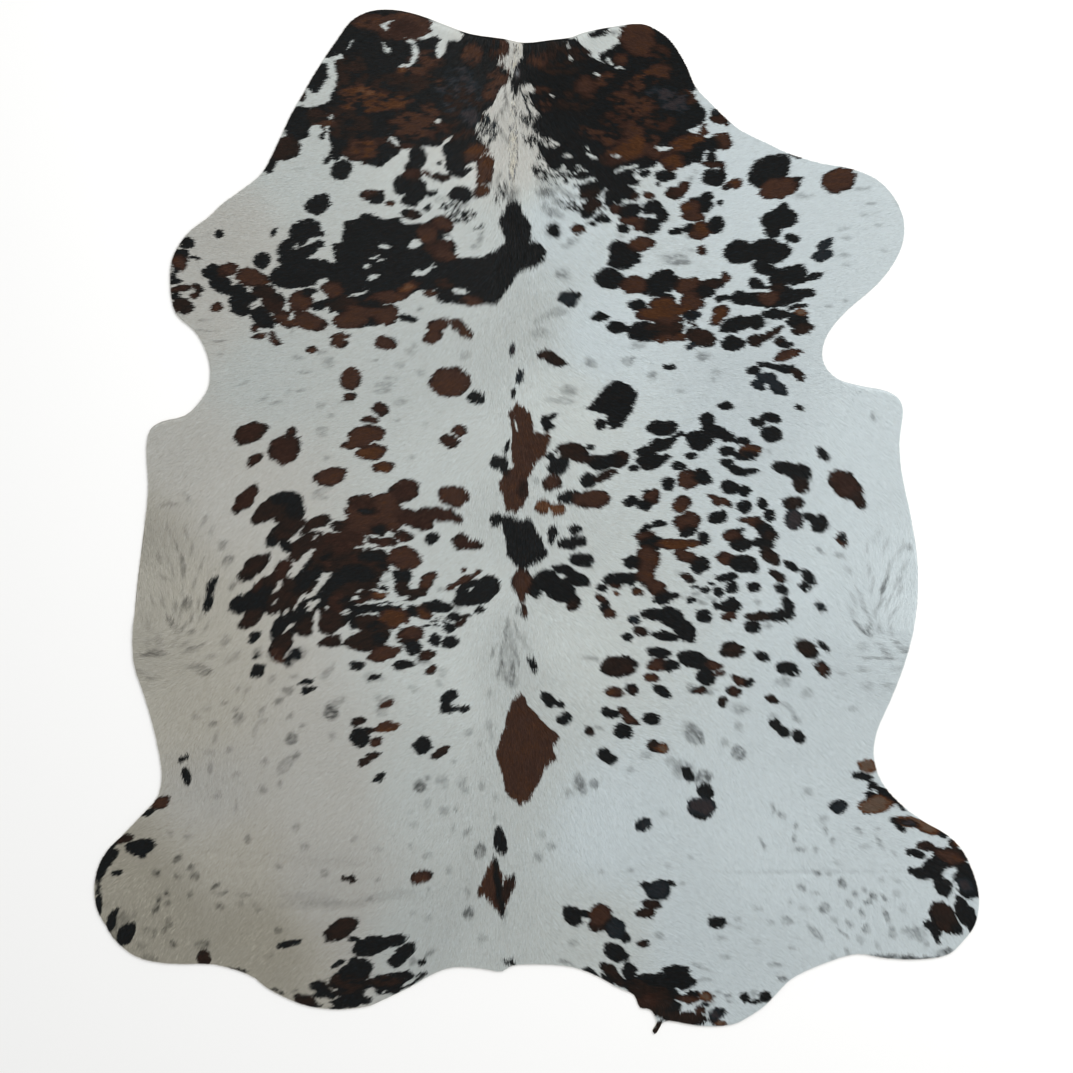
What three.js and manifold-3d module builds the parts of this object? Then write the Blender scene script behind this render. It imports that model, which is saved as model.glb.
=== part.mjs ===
// A whole cowhide rug, lying flat with its hair side up: one sheet of tanned leather and the
// short hair that lies on it, in one solid. Millimetres, +Z up, +Y towards the neck, +X to the
// right as seen from above, and the origin under the middle of the hide on the floor.
import * as THREE from 'three';
import Module from 'manifold-3d';
import { mergeVertices } from 'three/addons/utils/BufferGeometryUtils.js';

// ---- driving dimensions ----
const HIDE_LENGTH = 2200; // from the left neck lobe to the tip of the tail tag
const LEATHER = 2.4; // the bare leather's thickness, which is all that the cut rim shows
const LYING_HAIR = 2.4; // how much the lying hair adds over the back
const RIM_ROUND = 2.5; // how far in from the rim the hair rounds over
const SPINE_RIDGE = { rise: 1.1, halfWidth: 55 }; // longer hair, brushed up along the spine
const BELLY_THINNING = 0.5; // the belly's hide and hair are thinner than the back's

// ---- the chart that the hide is laid out on ----
// Columns count to the right and rows count from the neck to the tail. One square is the same
// size both ways, and it follows from the hide's length.
const CHART = { top: 10, bottom: 1033.5, left: 95, right: 978.5 };
const SQUARE = HIDE_LENGTH / (CHART.bottom - CHART.top);
const MIDDLE = { column: (CHART.left + CHART.right) / 2, row: (CHART.top + CHART.bottom) / 2 };

// The hide's edge, clockwise from the notch at the neck. A smooth curve runs through the places.
const EDGE = [
  // place, column, row
  ['neck notch', 524, 43],
  ['right neck, inner', 552, 40],
  ['right neck, step foot', 571, 37.5],
  ['right neck, step top', 583, 33],
  ['right neck lobe, rise', 612, 27],
  ['right neck lobe, top', 641, 24],
  ['right neck lobe, corner', 655, 29],
  ['right neck lobe, outer', 671, 42],
  ['right throat, upper', 686, 66],
  ['right throat, bend', 695, 87],
  ['right throat, lower', 709, 102],
  ['right collar', 728, 121],
  ['right collar, lower', 741, 131],
  ['right brisket', 771, 145.5],
  ['right brisket, step', 785, 152.5],
  ['right foreleg, upper', 820, 163.5],
  ['right foreleg, knuckle', 849, 168.5],
  ['right foreleg, hoof side', 877, 180],
  ['right foreleg, corner', 894, 198],
  ['right foreleg, tip', 903, 219],
  ['right foreleg, lower tip', 903, 240],
  ['right foreleg, back', 894, 262],
  ['right foreleg, back bend', 875, 286],
  ['right armpit, upper', 848, 309],
  ['right armpit, turn', 829, 331],
  ['right armpit, inner', 822, 349],
  ['right armpit, lower', 824, 365],
  ['right armpit, mouth', 836, 378],
  ['right flank, shelf', 860, 385.5],
  ['right flank, shelf end', 887, 391],
  ['right flank, corner', 899, 399],
  ['right flank, tip', 902.5, 410],
  ['right flank, upper', 899, 441],
  ['right flank, middle', 901.5, 475],
  ['right flank, swell', 910, 514],
  ['right belly, upper', 917, 556],
  ['right belly, lower', 917, 605],
  ['right belly, end', 910, 642],
  ['right loin, upper', 901, 672],
  ['right loin, lower', 889, 702],
  ['right waist, upper', 876, 732],
  ['right waist, inner', 873, 755],
  ['right waist, lower', 879, 778],
  ['right thigh, upper', 895, 799],
  ['right thigh, middle', 919, 818.5],
  ['right thigh, lower', 948, 835.5],
  ['right hock', 963, 852],
  ['right hock, lower', 975, 880],
  ['right hind leg, tip', 978.5, 900],
  ['right hind leg, lower tip', 974.5, 924],
  ['right hind leg, heel', 962, 941],
  ['right hind leg, sole', 948, 953.5],
  ['right hind leg, sole middle', 917, 958.5],
  ['right hind leg, sole end', 884, 957],
  ['right rump, shoulder', 857, 953],
  ['right rump, upper', 828, 961],
  ['right rump, middle', 792, 977.5],
  ['right rump, turn', 778, 991],
  ['right rump, dent', 765, 1004.5],
  ['right rump, lower', 750, 1015],
  ['rump lobe, right', 733, 1023.5],
  ['rump lobe, bottom', 700, 1025],
  ['rump lobe, left', 674, 1020.5],
  ['tail tag, right root', 663.5, 1020],
  ['tail tag, right side', 660.5, 1025.5],
  ['tail tag, tip', 655, 1033.5],
  ['tail tag, left side', 652.5, 1030],
  ['tail tag, left root', 657.5, 1021.5],
  ['tail tag, crook', 655, 1014.5],
  ['rump lobe, nick', 649, 1008],
  ['rump lobe, nick foot', 640, 1007],
  ['inner right rump', 634, 994.5],
  ['inner right rump, upper', 618, 987],
  ['inner right rump, bend', 594, 974],
  ['inner right rump, top', 571, 966],
  ['tail root, right', 540, 963.5],
  ['tail root, right foot', 511, 965],
  ['tail root, point', 502, 970.5],
  ['tail root, left', 481, 967.5],
  ['inner left rump, top', 452, 966.5],
  ['inner left rump, bend', 432, 973.5],
  ['inner left rump, middle', 408, 987.5],
  ['inner left rump, lower', 384, 999],
  ['left rump lobe, nick', 370, 1005],
  ['left rump lobe, bottom', 342, 1008.5],
  ['left rump lobe, outer', 309, 1005.5],
  ['left rump, lower', 284, 996],
  ['left rump, middle', 267, 987],
  ['left rump, turn', 254, 976.5],
  ['left rump, shelf', 234, 968.5],
  ['left hind leg, sole end', 214, 963.5],
  ['left hind leg, sole', 166, 962.5],
  ['left hind leg, heel', 136, 955.5],
  ['left hind leg, lower tip', 114, 937.5],
  ['left hind leg, nick', 106, 924],
  ['left hind leg, toe', 98, 910],
  ['left hind leg, tip', 95, 888],
  ['left hock', 99.5, 865],
  ['left hock, upper', 110, 847.5],
  ['left thigh, lower', 124, 834],
  ['left thigh, middle', 144, 813],
  ['left thigh, upper', 158, 797],
  ['left waist, inner', 162.5, 777],
  ['left waist, upper', 157, 739],
  ['left loin', 145.5, 697],
  ['left belly, end', 134, 660],
  ['left belly, lower', 135.5, 606],
  ['left belly, upper', 143, 540],
  ['left flank, middle', 149, 490],
  ['left flank, upper', 147, 448],
  ['left flank, tip', 151, 429],
  ['left flank, shelf end', 162, 421.5],
  ['left flank, shelf', 185, 415.5],
  ['left armpit, mouth', 201, 401],
  ['left armpit, lower', 209.5, 386],
  ['left armpit, inner', 210.5, 367],
  ['left armpit, turn', 205, 347],
  ['left armpit, upper', 194.5, 330],
  ['left foreleg, back', 176.5, 313.5],
  ['left foreleg, lower tip', 171, 288],
  ['left foreleg, tip', 172.5, 260],
  ['left foreleg, corner', 182, 241.5],
  ['left foreleg, hoof side', 192, 230],
  ['left foreleg, knuckle', 212, 215],
  ['left foreleg, dent', 221, 205.5],
  ['left foreleg, upper', 238, 193],
  ['left collar', 262, 174],
  ['left collar, upper', 276, 148.5],
  ['left throat, lower', 290, 118],
  ['left throat, middle', 303, 95],
  ['left throat, upper', 319, 67.5],
  ['left neck lobe, outer', 337, 41],
  ['left neck lobe, corner', 352, 21],
  ['left neck lobe, shoulder', 370, 11.5],
  ['left neck lobe, top', 393, 10],
  ['left neck lobe, inner', 418, 15],
  ['left neck, slope', 450, 27],
  ['left neck, foot', 470, 34],
  ['left neck, inner', 504, 39],
];
const STEPS_PER_PLACE = 3; // straight steps along the curve from each place to the next

// Where the hide lies a little proud or a little low: an oval swell on each side of the belly,
// where the hair whorls, and the two soft creases over the rump that folding has left.
const SWELLS = [
  { place: 'left flank whorl', column: 180, row: 610, width: 75, length: 130, rise: 1.1 },
  { place: 'right flank whorl', column: 882, row: 600, width: 70, length: 120, rise: 1.1 },
  { place: 'right rump crease', column: 845, row: 872, width: 230, length: 14, rise: -0.8 },
  { place: 'left rump crease', column: 350, row: 884, width: 260, length: 18, rise: -0.8 },
];
const RELIEF_CELL = 60; // the size of a facet of the upper face
const HEADROOM = 1; // how far the blank for the outline stands above the highest hair
const FOOTROOM = 2; // how far that blank reaches below the floor plane, where it is cut flat

const LEATHER_AND_HAIR = new THREE.MeshStandardMaterial({
  color: 0xc9cdcb,
  roughness: 0.85,
  metalness: 0,
});

/** Turns a place on the chart into millimetres. */
function onHide(column, row) {
  return new THREE.Vector2((column - MIDDLE.column) * SQUARE, (MIDDLE.row - row) * SQUARE);
}

/** The hide's outline, centred on the box that it fills. */
function outline() {
  const places = EDGE.map(([, column, row]) => {
    const { x, y } = onHide(column, row);
    return new THREE.Vector3(x, y, 0);
  });
  const curve = new THREE.CatmullRomCurve3(places, true, 'centripetal');
  const points = curve.getPoints(EDGE.length * STEPS_PER_PLACE).slice(0, -1);
  const middle = new THREE.Box3().setFromPoints(points).getCenter(new THREE.Vector3());
  return points.map((point) => new THREE.Vector2(point.x - middle.x, point.y - middle.y));
}

/** Height of the lying hair over the floor at a point of the hide. */
function hairHeight(x, y, halfWidth) {
  const spine = SPINE_RIDGE.rise * Math.exp(-((x / SPINE_RIDGE.halfWidth) ** 2));
  const belly = BELLY_THINNING * (x / halfWidth) ** 2;
  let height = LEATHER + LYING_HAIR + spine - belly;
  for (const swell of SWELLS) {
    const centre = onHide(swell.column, swell.row);
    const across = (x - centre.x) / (swell.width * SQUARE * 0.5);
    const along = (y - centre.y) / (swell.length * SQUARE * 0.5);
    height += swell.rise * Math.exp(-(across ** 2 + along ** 2));
  }
  return height;
}

/** A closed three.js geometry as a manifold solid. */
function toSolid(wasm, geometry) {
  geometry.deleteAttribute('normal');
  geometry.deleteAttribute('uv');
  const merged = mergeVertices(geometry);
  return new wasm.Manifold(
    new wasm.Mesh({
      numProp: 3,
      vertProperties: new Float32Array(merged.attributes.position.array),
      triVerts: new Uint32Array(merged.index.array),
    }),
  );
}

/** A manifold solid as a three.js geometry. */
function toGeometry(solid) {
  const mesh = solid.getMesh();
  const geometry = new THREE.BufferGeometry();
  geometry.setAttribute('position', new THREE.BufferAttribute(mesh.vertProperties, 3));
  geometry.setIndex(new THREE.BufferAttribute(mesh.triVerts, 1));
  geometry.computeVertexNormals();
  return geometry;
}

/** A flat-bottomed block over the whole hide, with the hair's height as its upper face. */
function reliefBlock(box) {
  const size = box.getSize(new THREE.Vector2());
  const columns = Math.ceil(size.x / RELIEF_CELL);
  const rows = Math.ceil(size.y / RELIEF_CELL);
  const block = new THREE.BoxGeometry(
    size.x + RELIEF_CELL,
    size.y + RELIEF_CELL,
    LEATHER,
    columns,
    rows,
    1,
  );
  block.translate(0, 0, LEATHER / 2);
  const position = block.attributes.position;
  for (let i = 0; i < position.count; i += 1) {
    if (position.getZ(i) > LEATHER / 2) {
      position.setZ(i, hairHeight(position.getX(i), position.getY(i), size.x / 2));
    }
  }
  return block;
}

/** The outline as a thick blank, rounded in at its upper rim and running below the floor. */
function outlineBlank(points) {
  const highest = LEATHER + LYING_HAIR + SPINE_RIDGE.rise + HEADROOM;
  const blank = new THREE.ExtrudeGeometry(new THREE.Shape(points), {
    depth: LEATHER + FOOTROOM,
    bevelEnabled: true,
    bevelThickness: highest - LEATHER,
    bevelSize: RIM_ROUND,
    bevelOffset: -RIM_ROUND,
    bevelSegments: 1,
  });
  blank.translate(0, 0, -FOOTROOM);
  return blank;
}

const wasm = await Module();
wasm.setup();

const edge = outline();
const blank = toSolid(wasm, outlineBlank(edge));
const block = toSolid(wasm, reliefBlock(new THREE.Box2().setFromPoints(edge)));
const hide = new THREE.Mesh(toGeometry(blank.intersect(block)), LEATHER_AND_HAIR);
hide.name = 'hide';

const rug = new THREE.Group();
rug.name = 'cowhide_rug';
rug.add(hide);

export default rug;
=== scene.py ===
"""A whole cowhide rug lying flat: tanned leather, and the short hair on it with its natural marks."""

import logging
import math
from collections.abc import Iterator
from dataclasses import dataclass, field
from enum import Enum
from typing import ClassVar

import bmesh
import bpy
import numpy as np
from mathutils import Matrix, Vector


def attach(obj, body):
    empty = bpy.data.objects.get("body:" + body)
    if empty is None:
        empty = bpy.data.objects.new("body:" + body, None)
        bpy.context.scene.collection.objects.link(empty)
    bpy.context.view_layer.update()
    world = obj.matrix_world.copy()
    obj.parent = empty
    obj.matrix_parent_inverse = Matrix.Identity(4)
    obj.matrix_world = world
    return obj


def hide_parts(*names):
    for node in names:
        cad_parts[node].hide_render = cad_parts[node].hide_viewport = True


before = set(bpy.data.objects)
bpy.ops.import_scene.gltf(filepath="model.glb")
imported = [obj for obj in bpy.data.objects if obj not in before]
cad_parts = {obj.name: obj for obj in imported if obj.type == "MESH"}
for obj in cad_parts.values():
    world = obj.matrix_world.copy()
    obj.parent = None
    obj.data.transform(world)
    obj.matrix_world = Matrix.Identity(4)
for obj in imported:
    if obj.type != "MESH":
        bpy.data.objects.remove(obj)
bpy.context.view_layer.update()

log = logging.getLogger("cowhide")
logging.basicConfig(level=logging.INFO, format="%(name)s: %(message)s")

MM = 0.001
SEED = 20260  # every random draw follows from it
WELD = 0.01 * MM  # points of the CAD mesh that lie nearer than this are one point
SLIVER = 0.1 * MM  # the floor lies this far under the hide, and a face within it is the underside

# ---- the chart that the hide is laid out on ----
# Columns count to the right and rows count from the neck to the tail, in squares that are the
# same size both ways.
HIDE_LENGTH = 2200 * MM
ROWS_LONG = 1023.5
SQUARE = HIDE_LENGTH / ROWS_LONG
MIDDLE_COLUMN = 536.75
MIDDLE_ROW = 521.75

# The brightness that the top of the hair's colour map stands for.
BRIGHTEST = 1.6

# How far each corner of a lock lies from the lock's own place on its colour map, so that a lock
# takes up a small area there and not one point.
MAP_SPREAD = 0.0012
MAP_CORNERS = MAP_SPREAD * np.array([[-1, -1], [0, 2], [1, -1]])


class Tone(Enum):
    """A colour that the hair has, with its place on the coat's ramp and its sRGB hex value."""

    COOL_WHITE = (0.00, "D0DADD")
    WHITE = (0.06, "C5CBC8")
    BONE = (0.12, "BBBAB4")
    STRAW_GREY = (0.18, "ABA89D")
    OLIVE_GREY = (0.24, "938F82")
    CREAM = (0.30, "D4D0C0")
    SKIN_GREY = (0.35, "82868A")
    SMOKE = (0.41, "332D2D")  # has no letter, and keeps hair near PLUM from turning pale
    PLUM = (0.46, "302A2B")
    SLATE = (0.51, "1A2227")
    BLACK = (0.57, "0C0F0F")
    SEAL = (0.64, "221812")
    BAY = (0.70, "2E1B13")
    CHESTNUT = (0.77, "3C281F")
    RUSSET = (0.82, "432710")
    GINGER = (0.89, "5A3A24")
    UMBER = (1.00, "5A4B3F")

    @property
    def place(self) -> float:
        """Where the tone sits on the coat's ramp, from 0 to 1."""
        return self.value[0]

    @property
    def hex(self) -> str:
        """The tone's sRGB hex value."""
        return self.value[1]


class Letter(Enum):
    """How a mark is written in the tables. A small letter is the same tone, broken by brindle."""

    K = Tone.BLACK
    S = Tone.SEAL
    B = Tone.BAY
    C = Tone.CHESTNUT
    R = Tone.RUSSET
    N = Tone.GINGER
    U = Tone.UMBER
    P = Tone.PLUM
    L = Tone.SLATE
    Y = Tone.CREAM


# Marks that darken the white hair, and how much each one darkens. G, D and H are mostly the pigment of the
# skin showing under white hair, and some thin streaks of them are painted shade between locks of long hair. F
# is painted shade in a fold where the hair parts.
VEILS = {"F": 0.09, "G": 0.24, "D": 0.36, "H": 0.52}
WHITE_HOLE = "W"
ROAN = "Q"  # black and white hair mixed in fine flecks

# The large patches: a tone's letter and the corners of the patch's outline, as column,row.
PATCHES = {
    "left neck": (
        "K",
        "322,56 345,20 366,6 395,4 431,14 463,30 508,38 508,50 497,62 507,70 500,92 487,112 475,120"
        " 474,134 486,145 488,150 476,155 482,160 470,165 472,172 462,176 452,177 446,170 445,158"
        " 447,148 446,141 436,145 420,147 402,149 399,154 388,161 380,168 364,163 350,160 340,155"
        " 331,148 328,126 310,126 300,138 290,138 284,132 296,108 313,108"
        " 331,100 332,82 336,80 334,68 341,62 330,60",
    ),
    "right neck": (
        "K",
        "521,45 530,38 645,20 658,30 675,45 690,72 697,88 692,92 706,112 707,120 688,131 700,136"
        " 716,140 702,156 690,166 668,172 656,160 645,167 620,170 612,173 590,162 565,160 548,167"
        " 541,155 533,125 540,114 531,105 529,95 535,90 528,82 519,88 514,98 512,85 513,72 522,60",
    ),
    "right neck, white step": (
        "W",
        "569,37 585,31 627,24 623,40 606,50 602,62 592,58 586,57 590,52 578,42",
    ),
    "left shoulder": (
        "K",
        "343,222 358,219 370,214 384,220 400,217 404,224 420,223 452,217 453,230 447,232 457,248"
        " 455,258 482,257 500,247 506,240 498,222 500,226 505,212"
        " 512,202 521,211 530,226 531,238 527,240 540,243"
        " 547,254 541,264 520,272 508,290 496,303 468,307 446,302 436,297 440,291 418,290 405,298"
        " 378,305 396,309 396,317 375,326 360,328 335,329 345,318 330,313 326,300 332,291 323,280"
        " 305,288 305,262 320,260 336,262 332,246 341,240",
    ),
    "right shoulder, oval": (
        "K",
        "616,380 628,384 637,393 631,412 620,428 610,431 611,418 600,413 586,409 592,402 600,392",
    ),
    "spine, chestnut": (
        "C",
        "517,402 529,412 534,432 549,433 549,442 545,455 536,462 526,482 530,488 526,500 514,514"
        " 505,508 498,485 503,474 512,466 511,432 508,411",
    ),
    "spine, black": (
        "K",
        "503,513 522,520 530,518 541,538 548,553 540,562 520,570 507,556 506,545 500,520",
    ),
    "spine, diamond": (
        "C",
        "520,693 533,710 561,738 553,748 556,758 545,767 540,780 529,799 521,805 506,793 504,782"
        " 495,753 503,727 511,700",
    ),
    "spine, arrow": ("C", "494,858 502,872 516,884 511,894 500,912 495,907 478,892 486,868"),
}
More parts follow.
